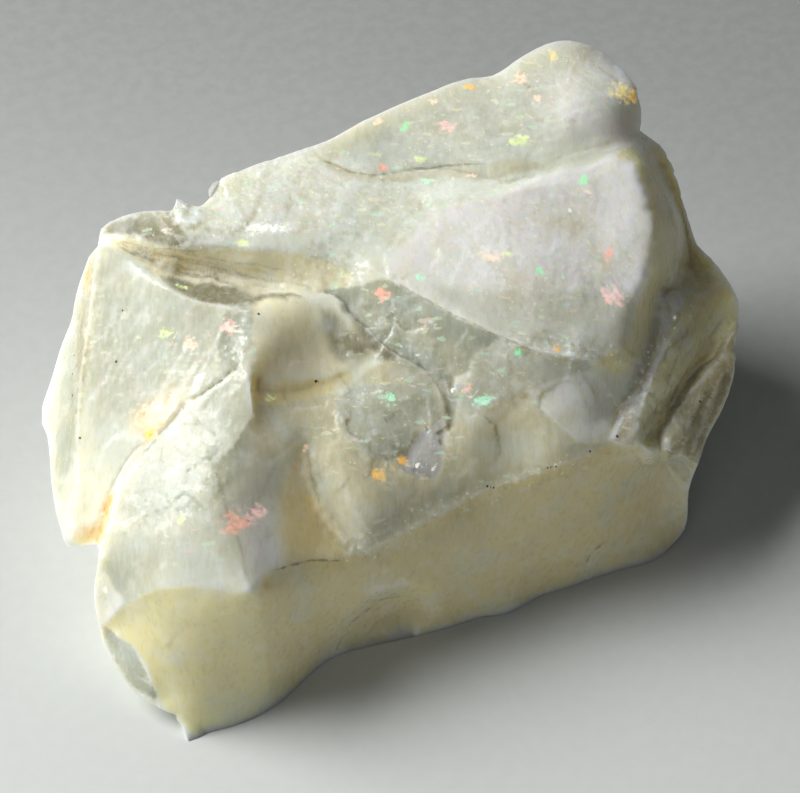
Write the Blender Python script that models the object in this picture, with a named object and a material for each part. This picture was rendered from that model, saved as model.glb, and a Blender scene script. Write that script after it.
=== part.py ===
"""A piece of rough white opal, about 58 mm long, broken on every side and lying on its flat base.

The stone is one solid. It is laid out on a slanted drawing sheet that hangs in the middle of the
stone: a point (across, up, height) is drawn that many mm right of and above the sheet's middle,
as seen from an eye on the sheet's axis, and lies that many mm above the table. The outline parts
the stone into a near side, full of scars and ridges, and a far side with the back and the base.
Lines carry the ridges, edges and hollows. Between them each side is a thin bent plate that takes
the smoothest shape through its lines, with a crease along each sharp one.
"""

import math
from dataclasses import dataclass

import bpy
import numpy as np
from mathutils import Vector, noise
from mathutils.geometry import delaunay_2d_cdt

MM = 0.001

# The drawing sheet and the eye that looks at it. The row's X axis is the stone's long side.
SHEET_HEIGHT = 12.0
SHEET_TURN = math.radians(-27)
SHEET_TILT = math.radians(50)
EYE_DISTANCE = 260.0

# How finely each side is divided, in mm, and how soon a bent plate goes slack, in mm.
NEAR_SPACING = 0.88
FAR_SPACING = 1.55
SLACK_LENGTH = 4.0

# Between the lines, points keep this share of the spacing clear of each other. Nearer than
# SAME_POINT mm, two points are one.
FILLER_GAP = 0.62
SAME_POINT = 1e-4

# The solver: how far a sliver triangle may pull, its steps, and the share left when it is done.
LEAST_PULL, MOST_PULL = -4.0, 12.0
MOST_STEPS = 6000
SOLVED = 1e-16
TINY = 1e-9

# Low waves all over the broken faces: their height and their length, in mm.
WAVE_HEIGHT = 0.08
WAVE_LENGTH = 3.2

OPAL_COLOUR = (0.76, 0.77, 0.66, 1.0)
OPAL_ROUGHNESS = 0.32
SHARP_ANGLE = math.radians(30)

SHARP = True
SOFT = False

# Corners that several lines share: across, up, height in mm.
PEAK = (13.6, 28.5, 27.5)
SCOOP_TIP = (-24.2, 12.0, 22.5)
SHOULDER = (-8.0, 19.7, 25.1)
NOTCH = (19.2, 21.3, 21.8)
SHELL_END = (27.0, 3.6, 12)
FRONT_END = (23.8, -5.4, 8.5)
NOSE_TIP = (-16.9, -27.6, 0)
CHIN = (-24.1, -18.4, 5.5)
CRACK_END = (-24.3, -11.9, 10.3)
NOSE_CORNER = (-24.1, -12.2, 11.8)
FLAKE_TIP = (-26.6, -12.0, 9.3)
HEEL = (20.2, -13.2, 0)
SPUR = (-17.8, 15.8, 25)
PEAK_FOOT = (7.4, 25.7, 26.4)
BEVEL_END = (-19.5, -24.8, 1.5)
SNOUT = (-13.4, -26.4, 0)
RIM_SHELL = (27.2, 6.1, 12.5)
LIP_CORNER = (-12.3, 6.8, 22)
CRACK_HEAD = (-11.9, 3.2, 20.9)
RIDGE_FOOT = (-14.6, -5.0, 17.7)
BROW = (-12.0, -15.5, 12.4)
PLATE_CORNER = (17.0, 19.6, 24.1)
PLATE_HEEL = (17.8, 3.0, 17.4)
SHELL_HEAD = (21.0, 8.4, 15.6)
SHELL_FOOT = (19.1, -3.7, 12.8)
SCAR_CORNER = (14.2, -3.5, 14.3)
HOLLOW_HEAD = (-7.0, 8.5, 21.05)
RISER_END = (19.3, 21.9, 22.5)
GROOVE_FOOT = (-4.0, -12.7, 10.9)

# The outline, from the peak down the right side and back over the left.
OUTLINE = (
    PEAK, (16.2, 27.6, 26.5), (18.9, 24.8, 24.6), (19.3, 22.9, 23.2), RISER_END, NOTCH,
    (20.8, 20.1, 19.8), (22.0, 17.9, 17.8), (23.1, 14.2, 15), (23.8, 12.1, 13.9),
    (24.9, 11.1, 13.4), (26.0, 9.6, 13.2), (27.0, 8.0, 13), RIM_SHELL, SHELL_END, (26.7, 1.5, 11),
    (25.7, -1.0, 10), (24.6, -3.2, 9), FRONT_END, (23.1, -7.5, 5.5), (23.0, -9.9, 2),
    (22.4, -11.2, 0.5), HEEL, (18.6, -13.6, 0), (16.0, -14.4, 0), (12.9, -15.5, 0),
    (11.4, -15.9, 0), (8.6, -17.4, 0), (6.4, -17.7, 0), (3.9, -18.5, 0), (0.4, -19.4, 0),
    (-4.1, -20.4, 0), (-5.6, -21.0, 0), (-6.9, -22.0, 0), (-9.1, -24.1, 0), (-11.5, -25.7, 0),
    SNOUT, (-15.3, -26.9, 0), NOSE_TIP, (-17.5, -26.4, 0.8), (-18.1, -25.6, 1.2), BEVEL_END,
    (-21.2, -23.7, 2), (-22.8, -21.6, 3), (-23.8, -19.6, 4), CHIN, (-24.5, -15.5, 9.2),
    (-24.3, -14.0, 10.7), NOSE_CORNER, CRACK_END, (-25.4, -12.0, 9.7), FLAKE_TIP,
    (-27.2, -10.5, 9.6), (-27.6, -8.8, 10.2), (-28.0, -5.7, 11.2), (-28.2, -3.2, 12),
    (-28.6, -2.2, 11.6), (-28.6, -0.9, 12), (-27.9, 1.4, 13.4), (-27.1, 4.1, 14.9),
    (-26.3, 6.0, 16.2), (-25.9, 8.2, 18), (-25.3, 10.1, 19.8), (-24.9, 11.1, 21.1), SCOOP_TIP,
    (-23.9, 13.4, 23), (-22.2, 14.4, 23.3), (-20.5, 14.8, 23.6), (-18.2, 15.0, 24.2), SPUR,
    (-16.4, 15.2, 24.5), (-15.3, 16.0, 24.5), (-15.2, 16.8, 24.6), (-12.8, 18.1, 24.9), SHOULDER,
    (-5.6, 20.6, 25.6), (-2.4, 22.3, 26), (2.4, 24.4, 26.4), (5.6, 25.5, 26.5), PEAK_FOOT,
    (11.2, 28.0, 27.3),
)

# Edges, ridges and hollows of the near side.
NEAR_LINES = (
    ("left face", SOFT, (
        (-18.8, 6.3, 20.9), (-19.4, 2.8, 18.9), (-20.5, -0.9, 16.75), (-22.1, -4.4, 14.6))),
    ("riser top", SOFT, (
        (-0.4, 19.1, 24.5), (3.2, 19.6, 24.7), (6.4, 19.2, 24.7), (8.9, 18.9, 24.5),
        (12.8, 19.4, 24.3), (16.0, 20.1, 24), (17.8, 20.8, 23.4), RISER_END)),
    ("scoop end", SOFT, (
        LIP_CORNER, (-11.4, 7.2, 21.6), (-10.0, 7.6, 21.25), (-8.6, 8.0, 21.1), HOLLOW_HEAD)),
    ("scoop lip", SHARP, (
        SCOOP_TIP, (-23.0, 11.6, 22.6), (-21.6, 11.1, 22.6), (-19.7, 9.5, 22.5),
        (-18.0, 8.4, 22.4), (-16.4, 7.7, 22.3), (-14.4, 7.3, 22.1), LIP_CORNER)),
    ("scoop floor", SOFT, (
        (-21.6, 11.6, 22.6), (-20.0, 10.8, 21.9), (-18.2, 10.1, 21.4), (-15.8, 9.5, 21),
        (-13.6, 8.9, 20.8), (-11.5, 8.5, 20.7), (-9.4, 8.4, 20.8), (-7.5, 8.8, 21))),
    ("scoop crest", SOFT, (
        (-22.7, 12.5, 23.2), (-21.4, 12.4, 23.4), (-19.7, 12.0, 23.5), (-18.2, 11.8, 23.5),
        (-16.4, 12.1, 23.6), (-13.6, 12.0, 23.5), (-11.2, 11.8, 23.4), (-8.8, 11.6, 23.1),
        (-7.0, 10.8, 22.5))),
    ("spur rib", SHARP, (SPUR, (-17.3, 15.0, 24.4), (-16.8, 14.5, 24.2))),
    ("ledge edge", SHARP, (
        (-17.6, 14.2, 24.4), (-16.0, 13.7, 24.3), (-13.8, 13.6, 24.25), (-11.0, 13.4, 24.1),
        (-8.2, 13.4, 23.9))),
    ("ledge foot", SOFT, (
        (-17.3, 13.6, 24.1), (-15.8, 13.2, 24), (-13.8, 12.9, 23.9), (-11.0, 12.8, 23.8),
        (-8.6, 12.9, 23.7))),
    ("left rim", SHARP, (
        SCOOP_TIP, (-24.5, 9.7, 21.2), (-24.8, 6.9, 19.6), (-25.3, 3.7, 17.9), (-25.7, 0.1, 16),
        (-25.8, -3.2, 14.3), (-25.8, -6.7, 12.5), (-25.9, -9.5, 11.1), FLAKE_TIP)),
    ("crack edge", SHARP, (
        CRACK_HEAD, (-13.0, 2.6, 20.25), (-15.4, 0.6, 19), (-17.7, -1.3, 17.6),
        (-19.4, -3.0, 16.5), (-20.8, -4.4, 15.6), (-22.0, -6.2, 14.7), (-22.9, -8.3, 13.75),
        (-23.4, -10.4, 12.85), NOSE_CORNER)),
    ("crack bed", SHARP, (
        (-19.4, -3.0, 16.5), (-21.2, -4.2, 14.95), (-22.4, -6.0, 13.65), (-23.3, -8.0, 12.5),
        (-23.9, -9.9, 11.5), CRACK_END)),
    ("central ridge", SHARP, (
        LIP_CORNER, (-11.8, 5.2, 21.6), CRACK_HEAD, (-12.0, 0.4, 19.6), (-11.8, -1.5, 18.8),
        (-12.6, -2.5, 18.5), (-13.5, -4.1, 18), RIDGE_FOOT)),
    ("hollow side", SHARP, (
        HOLLOW_HEAD, (-5.6, 8.0, 20.85), (-3.8, 6.6, 20.1), (-2.4, 5.3, 19.5), (-1.4, 4.1, 19.1),
        (-0.1, 3.2, 18.75), (1.1, 2.6, 18.35), (2.3, 1.8, 17.8), (2.9, 0.4, 17.1),
        (3.2, -1.2, 16.3))),
    ("lilac facet", SHARP, (
        (3.2, -1.2, 16.3), (2.4, -2.5, 15.8), (1.3, -3.3, 15.5), (0.5, -4.4, 15))),
    ("hollow step", SOFT, (
        (-11.5, 1.3, 19.2), (-10.0, 1.0, 18.5), (-8.0, 1.1, 18), (-6.0, 1.6, 18), (-4.0, 2.3, 18.2))),
    ("groove crest", SHARP, (
        (-7.6, -3.6, 16.3), (-6.9, -6.7, 14.5), (-6.5, -8.8, 13.2), (-5.4, -10.6, 12), GROOVE_FOOT)),
    ("groove side", SOFT, (
        (-5.0, -4.4, 16.1), (-4.3, -6.7, 14.9), (-3.8, -8.8, 13.7), (-2.6, -10.7, 12.3))),
    ("groove border", SOFT, (
        (-8.8, -4.4, 16.7), (-9.7, -5.9, 16), (-10.0, -8.3, 15), (-9.8, -11.5, 13.4))),
    ("groove foot", SOFT, (
        (-10.7, -14.2, 12.4), (-7.9, -13.2, 11.8), (-5.6, -12.9, 11.2), GROOVE_FOOT)),
    ("nose brow", SOFT, (
        CHIN, (-23.2, -17.6, 7.2), (-21.7, -16.4, 9.4), (-19.4, -15.2, 11.5), (-17.4, -14.7, 12.4),
        (-14.8, -14.9, 12.6), BROW)),
    ("nose crease", SOFT, (
        RIDGE_FOOT, (-14.7, -8.3, 16.5), (-13.8, -11.4, 14.8), (-12.8, -13.5, 13.5), BROW)),
    ("bevel", SHARP, (
        CHIN, (-22.3, -19.2, 5.9), (-20.8, -20.8, 5.2), (-20.0, -22.4, 4), (-19.7, -23.7, 2.7),
        BEVEL_END)),
    ("tip facet", SHARP, (
        BEVEL_END, (-17.2, -25.2, 2), (-14.8, -25.6, 1.3), SNOUT)),
    ("front ridge", SOFT, (
        GROOVE_FOOT, (-1.1, -11.6, 11), (1.4, -10.4, 11.3), (3.9, -8.9, 11.7), (6.9, -7.5, 12.1),
        (10.0, -6.6, 12.5), (12.2, -5.8, 12.9), (15.2, -4.4, 13.3), (17.2, -3.3, 13.5), SHELL_FOOT,
        (20.4, -4.2, 11.3), (21.9, -4.5, 9.7), FRONT_END)),
    ("valley", SHARP, (
        SHOULDER, (-6.0, 18.8, 24.7), (-4.0, 18.0, 24.5), (-2.2, 17.6, 24.3), (0.0, 18.0, 24.15),
        (3.2, 18.3, 24.05), (6.4, 17.7, 23.95), (8.8, 17.2, 23.85), (11.2, 17.9, 23.75),
        (14.0, 18.9, 23.65), (16.4, 20.0, 23.4), (18.0, 20.4, 22.9), NOTCH)),
    ("plate top", SHARP, (
        (2.4, 16.0, 24), (5.3, 16.0, 24.2), (8.0, 16.2, 24.15), (10.0, 16.8, 24.1),
        (12.0, 17.6, 24.1), (14.4, 18.6, 24.1), PLATE_CORNER)),
    ("peak facet", SHARP, (
        PEAK_FOOT, (8.9, 24.2, 26.2), (10.3, 23.0, 25.9), (12.6, 22.2, 25.7), (14.8, 21.6, 25.3),
        (17.4, 22.0, 24.4), (19.3, 22.9, 23.2))),
    ("lip inner", SHARP, (
        PLATE_CORNER, (18.4, 18.9, 23.7), (19.6, 17.1, 23), (20.2, 15.1, 22.2), (20.5, 12.9, 21.3),
        (20.2, 10.8, 20.4), (19.6, 8.9, 19.7), (18.8, 7.1, 19), (18.2, 5.1, 18.2), PLATE_HEEL)),
    ("lip outer", SHARP, (
        PLATE_CORNER, (19.0, 19.5, 22.9), (20.0, 18.3, 21.8), (21.2, 16.4, 20), (22.1, 14.4, 18.3),
        (22.4, 12.5, 17), (22.2, 10.4, 16.1), SHELL_HEAD)),
    ("recess", SOFT, (
        (20.2, 18.9, 19.6), (21.4, 17.2, 17.3), (22.5, 14.8, 15), (23.1, 12.5, 13.7),
        (23.3, 10.6, 13.1))),
    ("spine foot", SHARP, (
        SHELL_HEAD, (20.5, 6.0, 14.9), (20.0, 4.0, 14.6), (19.7, 2.2, 14.35), (18.9, 0.8, 14.1),
        (18.0, -0.3, 14), (17.1, -1.4, 13.8), (17.0, -2.7, 13.7))),
    ("shell ridge", SHARP, (
        SHELL_FOOT, (20.1, -4.4, 12.1), (21.4, -4.2, 11.8), (22.7, -2.6, 11.8), (24.0, -0.4, 12.1),
        (25.6, 1.9, 12.3), SHELL_END)),
    ("shell bed", SOFT, (
        (20.1, -3.2, 11.5), (21.0, -1.9, 11.1), (22.2, -0.0, 10.7), (24.0, 2.2, 10.8),
        (25.6, 3.6, 11.2))),
    ("shell crest", SOFT, (
        (20.5, -1.2, 12.8), (21.8, 0.7, 12.9), (23.7, 3.6, 12.8), (25.3, 5.6, 12.8), RIM_SHELL)),
    ("plate foot", SHARP, (
        (-2.4, 10.3, 22.6), (-0.7, 9.4, 22.3), (2.0, 7.8, 21.6), (3.8, 6.7, 21.1),
        (6.2, 5.8, 20.7), (8.4, 4.9, 20.2), (10.2, 4.1, 19.7), (11.8, 3.5, 19.3),
        (14.0, 3.2, 18.7), (16.2, 2.9, 18), PLATE_HEEL)),
    ("shell top", SHARP, (
        SHELL_HEAD, (22.4, 8.6, 15.1), (23.7, 8.2, 14.7), (24.9, 8.5, 14), (26.0, 9.6, 13.2))),
    ("small ridge", SHARP, (
        (7.0, 4.6, 19.9), (6.5, 3.7, 19.35), (6.2, 2.9, 18.9), (5.2, 1.6, 18.1), (4.5, 0.4, 17.4))),
    ("scar rim", SHARP, (
        (4.8, -1.0, 16.5), (6.9, -0.9, 16.5), (8.6, -0.4, 16.7), (10.4, 0.3, 17),
        (11.8, -1.1, 16.1), SCAR_CORNER)),
    ("scar arc", SOFT, (
        (13.8, 2.0, 17.6), (14.7, 1.3, 16.9), (15.4, 0.0, 15.9), (15.3, -1.7, 14.8), SCAR_CORNER)),
    ("spine crest", SHARP, (
        SHELL_HEAD, (21.8, 7.9, 15.7), (22.6, 7.0, 15.3), (22.4, 6.0, 15.2), (21.6, 4.5, 15.1),
        (20.7, 2.9, 14.9), (20.1, 1.3, 14.6), (19.7, -0.2, 14.3), (19.3, -1.9, 13.7), SHELL_FOOT)),
    ("chip rim", SHARP, (
        (-5.5, -20.1, 1.4), (-4.8, -18.8, 3.1), (-3.4, -17.0, 5.2), (-1.6, -15.5, 7),
        (0.2, -15.1, 6.8), (2.4, -15.9, 4.8), (3.0, -17.2, 2.6), (2.0, -18.5, 0.8))),
    ("chip bed", SOFT, (
        (-3.8, -19.7, 0.5), (-2.9, -18.0, 2.3), (-1.2, -16.8, 3.2), (1.0, -16.8, 2.3),
        (1.9, -17.6, 1.4))),
)

# Edges and ridges of the far side. The back stands nearly upright and the base is flat.
BASE_EDGE = (
    HEEL, (21.6, -11.0, 0), (21.2, -7.3, 0), (22.0, -3.1, 0), (19.6, 1.1, 0), (18.4, 4.2, 0),
    (14.0, 6.2, 0), (9.5, 5.3, 0), (6.0, 7.1, 0), (2.0, 6.5, 0), (-2.5, 3.2, 0), (-7.5, 2.9, 0),
    (-12.0, 1.2, 0), (-15.5, -2.2, 0), (-19.8, -3.4, 0), (-21.4, -7.0, 0), (-22.8, -10.8, 0),
    (-20.6, -15.0, 0), (-21.2, -18.8, 0), (-18.8, -23.0, 0), NOSE_TIP,
)
FAR_LINES = (
    ("base edge", SHARP, BASE_EDGE),
    ("peak rib", SHARP, (
        PEAK, (14.6, 22.9, 19), (13.2, 16.2, 11), (14.0, 6.2, 0))),
    ("middle rib", SHARP, (
        (-2.4, 22.3, 26), (-1.2, 19.7, 20), (2.6, 16.4, 13), (4.4, 12.9, 7), (6.0, 7.1, 0))),
    ("left rib", SHARP, (
        SPUR, (-17.0, 11.5, 16), (-13.6, 8.2, 9), (-12.0, 1.2, 0))),
    ("high ledge", SHARP, (
        (-1.2, 19.7, 20), (2.5, 21.4, 21.4), (6.5, 22.6, 21.6), (11.0, 23.1, 20.6),
        (14.6, 22.9, 19))),
    ("low ledge", SHARP, (
        (-13.6, 8.2, 9), (-9.0, 10.4, 10.5), (-4.0, 12.7, 11), (2.6, 16.4, 13))),
    ("right rib", SHARP, (
        (22.0, 17.9, 17.8), (22.6, 10.4, 10), (20.8, 5.3, 4), (19.6, 1.1, 0))),
    ("left foot rib", SHARP, (
        (-28.2, -3.2, 12), (-26.0, -7.5, 5.5), (-22.8, -10.8, 0))),
    ("left corner rib", SHARP, (
        (-25.9, 8.2, 18), (-24.2, 3.6, 9), (-19.8, -3.4, 0))),
    ("nose side rib", SOFT, (
        (-24.5, -15.5, 9.2), (-22.6, -17.2, 4.5), (-21.2, -18.8, 0))),
    ("left undercut", SHARP, (
        (-24.2, 3.6, 9), (-25.6, -1.7, 7.6), (-26.0, -7.5, 5.5))),
)

# Round hollows pressed into each side: across, up, radius, depth in mm. A bulge has a negative depth.
NEAR_HOLLOWS = (
    (-8.0, 4.6, 4.6, 1.0),
    (9.0, -4.0, 4.0, 0.5),
    (-18.0, -20.0, 6.0, -0.5),
    (10.5, 11.0, 6.5, -0.3),
)
FAR_HOLLOWS = (
    (9.0, 18.4, 4.5, 2.0),
    (-8.0, 13.3, 5.0, 2.0),
    (18.4, 12.5, 4.0, 1.6),
    (-4.5, 7.8, 3.0, 1.3),
    (-22.3, 6.0, 3.5, 1.0),
    (5.0, 24.0, 2.5, 0.6),
)


@dataclass
class Side:
    """One side of the stone."""

    drawn: np.ndarray  # where each point is drawn on the sheet
    places: np.ndarray  # where it lies in space
    triangles: np.ndarray
    on_table: np.ndarray  # whether the point is held flat on the table
    rim: list  # the outline's sample at this point, or a number past the last one


class Sheet:
    """The slanted drawing sheet: turns a drawn point and its height into a place in space."""

    def __init__(self):
        turn, tilt = SHEET_TURN, SHEET_TILT
        self.middle = np.array((0.0, 0.0, SHEET_HEIGHT))
        self.right = np.array((math.cos(turn), math.sin(turn), 0.0))
        self.up = np.array(
            (-math.sin(turn) * math.sin(tilt), math.cos(turn) * math.sin(tilt), math.cos(tilt))
        )
        self.eye = self.middle + EYE_DISTANCE * np.cross(self.right, self.up)

    def on_sheet(self, drawn):
        return self.middle + drawn[:, :1] * self.right + drawn[:, 1:2] * self.up

    def nearness(self, drawn, height):
        """One over the share of the way from the eye to the sheet: even over any flat face."""
        return (self.on_sheet(drawn)[:, 2] - self.eye[2]) / (height - self.eye[2])

    def in_space(self, drawn, nearness):
        return self.eye + (self.on_sheet(drawn) - self.eye) / nearness[:, None]


def curve_through(points, spacing, closed=False):
    """Samples about spacing apart on the smooth curve through all the points, the points among them."""
    points = np.array(points, float)
    if closed:
        points = np.vstack((points[-1], points, points[:2]))
    else:
        points = np.vstack((points[0], points, points[-1]))
    length = np.linalg.norm(np.diff(points[:, :2], axis=0), axis=1)
    samples = []
    for k in range(1, len(points) - 2):
        start, end, run = points[k], points[k + 1], length[k]
        leave = (end - points[k - 1]) * run / (run + length[k - 1])
        arrive = (points[k + 2] - start) * run / (run + length[k + 1])
        for t in np.arange(0, 1, 1 / max(1, round(run / spacing))):
            blend = t * t * (3 - 2 * t)
            bend = t * (1 - t) * ((1 - t) * leave - t * arrive)
            samples.append(start + blend * (end - start) + bend)
    if not closed:
        samples.append(points[-2])
    samples = np.array(samples)
    samples[:, 2] = np.maximum(samples[:, 2], 0.0)
    return samples


def inside(polygon, drawn):
    """Whether each drawn point lies inside the closed polygon."""
    count = np.zeros(len(drawn), int)
    for start, end in zip(polygon, np.roll(polygon, -1, axis=0)):
        spans = (start[1] > drawn[:, 1]) != (end[1] > drawn[:, 1])
        rise = end[1] - start[1] or 1.0
        crossing = start[0] + (drawn[:, 1] - start[1]) * (end[0] - start[0]) / rise
        count += spans & (drawn[:, 0] < crossing)
    return count % 2 == 1


def filler_points(outline, taken, spacing):
    """A honeycomb of points inside the outline, clear of the samples that are already there."""
    low, high = outline.min(axis=0), outline.max(axis=0)
    rows = []
    for row, v in enumerate(np.arange(low[1], high[1], spacing * math.sqrt(3) / 2)):
        u = np.arange(low[0], high[0], spacing) + (row % 2) * spacing / 2
        rows.append(np.column_stack((u, np.full(len(u), v))))
    points = np.vstack(rows)
    points = points[inside(outline, points)]
    gap = np.array([np.min(np.hypot(*(taken - point).T)) for point in points])
    return points[gap > FILLER_GAP * spacing]


class Bending:
    """Springs between the drawn points: how hard a height that differs from its neighbours' pulls."""

    def __init__(self, drawn, triangles, sharp):
        self.count = len(drawn)
        self.start, self.end, self.weight = [], [], []
        area = np.full(self.count, TINY)
        for k in range(3):
            corner, left, right = (triangles[:, (k + step) % 3] for step in range(3))
            a, b = drawn[left] - drawn[corner], drawn[right] - drawn[corner]
            cross = np.abs(a[:, 0] * b[:, 1] - a[:, 1] * b[:, 0])
            self.start.append(left)
            self.end.append(right)
            pull = (a * b).sum(axis=1) / (2 * cross + TINY)
            self.weight.append(np.clip(pull, LEAST_PULL, MOST_PULL))
            area += np.bincount(corner, cross / 6, self.count)
        self.start = np.concatenate(self.start)
        self.end = np.concatenate(self.end)
        self.weight = np.concatenate(self.weight)
        self.give = ~sharp / area

    def total(self, pull):
        return np.bincount(self.start, pull, self.count) + np.bincount(self.end, pull, self.count)

    def slope(self, value):
        pull = self.weight * (value[self.start] - value[self.end])
        return np.bincount(self.start, pull, self.count) - np.bincount(self.end, pull, self.count)

    def force(self, value):
        slope = self.slope(value)
        return self.slope(self.give * slope) + slope / SLACK_LENGTH**2

    def firmness(self):
        """The force's diagonal, near enough to even out the solver's steps."""
        own = self.total(self.weight)
        others = np.bincount(self.start, self.weight**2 * self.give[self.end], self.count)
        others += np.bincount(self.end, self.weight**2 * self.give[self.start], self.count)
        return own**2 * self.give + others + np.abs(own) / SLACK_LENGTH**2 + TINY


def bend_plate(drawn, triangles, known, value, sharp):
    """The smoothest surface through the known values, free to crease at the sharp points.

    The unknown values are found by the conjugate gradient method.
    """
    plate = Bending(drawn, triangles, sharp)
    ease = ~known / plate.firmness()
    left = -plate.force(value) * ~known
    eased = ease * left
    step = eased
    gain = goal = left @ eased
    for _ in range(MOST_STEPS):
        force = plate.force(step) * ~known
        stride = gain / (step @ force)
        value = value + stride * step
        left = left - stride * force
        eased = ease * left
        last, gain = gain, left @ eased
        if gain < SOLVED * goal:
            break
        step = eased + gain / last * step
    return value


def press_hollows(sheet, drawn, places, hollows, inward):
    """Pushes places along their lines of sight, away from the eye where inward is 1."""
    sight = places - sheet.eye
    sight /= np.linalg.norm(sight, axis=1)[:, None]
    for across, up, radius, depth in hollows:
        share = np.hypot(drawn[:, 0] - across, drawn[:, 1] - up) / radius
        dent = depth * np.clip(1 - share**2, 0, None) ** 2
        places += inward * dent[:, None] * sight


def relief(sheet, outline, lines, spacing, flat_base=None):
    """One side of the stone, bent through its lines and held at the outline that both sides share."""
    runs = [outline]
    creased = [np.ones(len(outline), bool)]
    edges = [(k, (k + 1) % len(outline)) for k in range(len(outline))]
    for _, is_sharp, points in lines:
        samples = curve_through(points, spacing)
        first = sum(len(run) for run in runs)
        edges += [(first + k, first + k + 1) for k in range(len(samples) - 1)]
        runs.append(samples)
        creased.append(np.full(len(samples), is_sharp))
    lined = np.vstack(runs)
    filler = filler_points(outline[:, :2], lined[:, :2], spacing)
    given = np.vstack((lined[:, :2], filler))

    drawn, _, faces, sources, _, _ = delaunay_2d_cdt(
        [Vector(point) for point in given], edges, [], 1, SAME_POINT
    )
    drawn = np.array([tuple(point) for point in drawn])
    height = np.full(len(drawn), np.nan)
    sharp = np.zeros(len(drawn), bool)
    for index, origins in enumerate(sources):
        origins = [origin for origin in origins if origin < len(lined)]
        if origins:
            height[index] = lined[origins[0], 2]
            sharp[index] = any(np.concatenate(creased)[origins])
    if flat_base is not None:
        height[np.isnan(height) & inside(flat_base, drawn)] = 0.0

    known = ~np.isnan(height)
    nearness = np.zeros(len(drawn))
    nearness[known] = sheet.nearness(drawn[known], height[known])
    nearness = bend_plate(drawn, np.array(faces), known, nearness, sharp)
    rim = [min(origins) if origins else len(outline) for origins in sources]
    return Side(drawn, sheet.in_space(drawn, nearness), np.array(faces), height == 0.0, rim)


def sew(near, far, rim_length):
    """Both sides as one closed skin: places, triangles facing out, and which places stay on the table."""
    places, on_table = list(near.places), list(near.on_table)
    shared = {sample: index for index, sample in enumerate(near.rim) if sample < rim_length}
    index_of = []
    for place, held, sample in zip(far.places, far.on_table, far.rim):
        if sample in shared:
            index_of.append(shared[sample])
        else:
            index_of.append(len(places))
            places.append(place)
            on_table.append(held)
    far_triangles = np.array(index_of)[far.triangles][:, ::-1]
    return np.array(places), np.vstack((near.triangles, far_triangles)), np.array(on_table)


def add_waves(places, triangles, on_table):
    """Lifts and sinks the broken faces a little, and leaves the base flat."""
    a, b, c = (places[triangles[:, k]] for k in range(3))
    facing = np.cross(b - a, c - a)
    normals = np.zeros_like(places)
    for k in range(3):
        np.add.at(normals, triangles[:, k], facing)
    normals /= np.linalg.norm(normals, axis=1)[:, None]
    wave = np.array([noise.noise(Vector(place / WAVE_LENGTH)) for place in places])
    wave[on_table] = 0.0
    places += WAVE_HEIGHT * wave[:, None] * normals


def opal_material():
    material = bpy.data.materials.new("milky opal")
    material.use_nodes = True
    shader = material.node_tree.nodes["Principled BSDF"]
    shader.inputs["Base Color"].default_value = OPAL_COLOUR
    shader.inputs["Roughness"].default_value = OPAL_ROUGHNESS
    shader.inputs["Metallic"].default_value = 0.0
    return material


def build_stone():
    sheet = Sheet()
    outline = curve_through(OUTLINE, NEAR_SPACING, closed=True)
    near = relief(sheet, outline, NEAR_LINES, NEAR_SPACING)
    base = table_outline()
    far = relief(sheet, outline, FAR_LINES, FAR_SPACING, flat_base=base)
    press_hollows(sheet, near.drawn, near.places, NEAR_HOLLOWS, 1)
    press_hollows(sheet, far.drawn, far.places, FAR_HOLLOWS, -1)
    places, triangles, on_table = sew(near, far, len(outline))
    add_waves(places, triangles, on_table)

    middle = (places.min(axis=0) + places.max(axis=0)) / 2
    places -= (middle[0], middle[1], 0.0)
    mesh = bpy.data.meshes.new("opal")
    mesh.from_pydata((places * MM).tolist(), [], triangles.tolist())
    mesh.materials.append(opal_material())
    mesh.shade_smooth()
    mesh.set_sharp_from_angle(angle=SHARP_ANGLE)
    stone = bpy.data.objects.new("opal", mesh)
    bpy.context.scene.collection.objects.link(stone)
    return stone


def table_outline():
    """The flat base, drawn: the far side's base edge, closed along the outline's points at height 0."""
    front = OUTLINE[OUTLINE.index(HEEL) : OUTLINE.index(NOSE_TIP)]
    edge = [point[:2] for point in BASE_EDGE[::-1]] + [point[:2] for point in front]
    return np.array(edge)


def clear_scene():
    for thing in list(bpy.data.objects):
        bpy.data.objects.remove(thing)


clear_scene()
build_stone()
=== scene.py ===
"""Looks of a rough opal specimen: milky broken stone with chipped ridges, play of colour and iron stain.

The stone's relief is laid out on a slanted sheet that faces the eye, as its solid is. A place on that
sheet is (across, up) in mm from its middle. Sizes of relief and of noise are in mm too, and angles on
the sheet in degrees. Places in space, the camera, the lights and the shader's lengths are in metres.
"""
import math

import bpy
import numpy as np
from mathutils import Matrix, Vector, noise
from mathutils.bvhtree import BVHTree


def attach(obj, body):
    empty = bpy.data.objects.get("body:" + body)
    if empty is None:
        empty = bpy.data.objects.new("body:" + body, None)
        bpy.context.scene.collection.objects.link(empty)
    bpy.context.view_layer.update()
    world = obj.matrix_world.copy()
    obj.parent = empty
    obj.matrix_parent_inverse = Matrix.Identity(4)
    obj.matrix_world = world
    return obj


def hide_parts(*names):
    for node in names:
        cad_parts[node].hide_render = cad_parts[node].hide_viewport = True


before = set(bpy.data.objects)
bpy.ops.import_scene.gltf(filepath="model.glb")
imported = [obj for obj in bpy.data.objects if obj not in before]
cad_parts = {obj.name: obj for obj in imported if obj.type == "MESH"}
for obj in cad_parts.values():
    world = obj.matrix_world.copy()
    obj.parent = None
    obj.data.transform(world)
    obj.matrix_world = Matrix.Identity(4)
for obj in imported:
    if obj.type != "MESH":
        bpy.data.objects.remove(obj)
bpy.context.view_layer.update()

MM = 0.001

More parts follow.
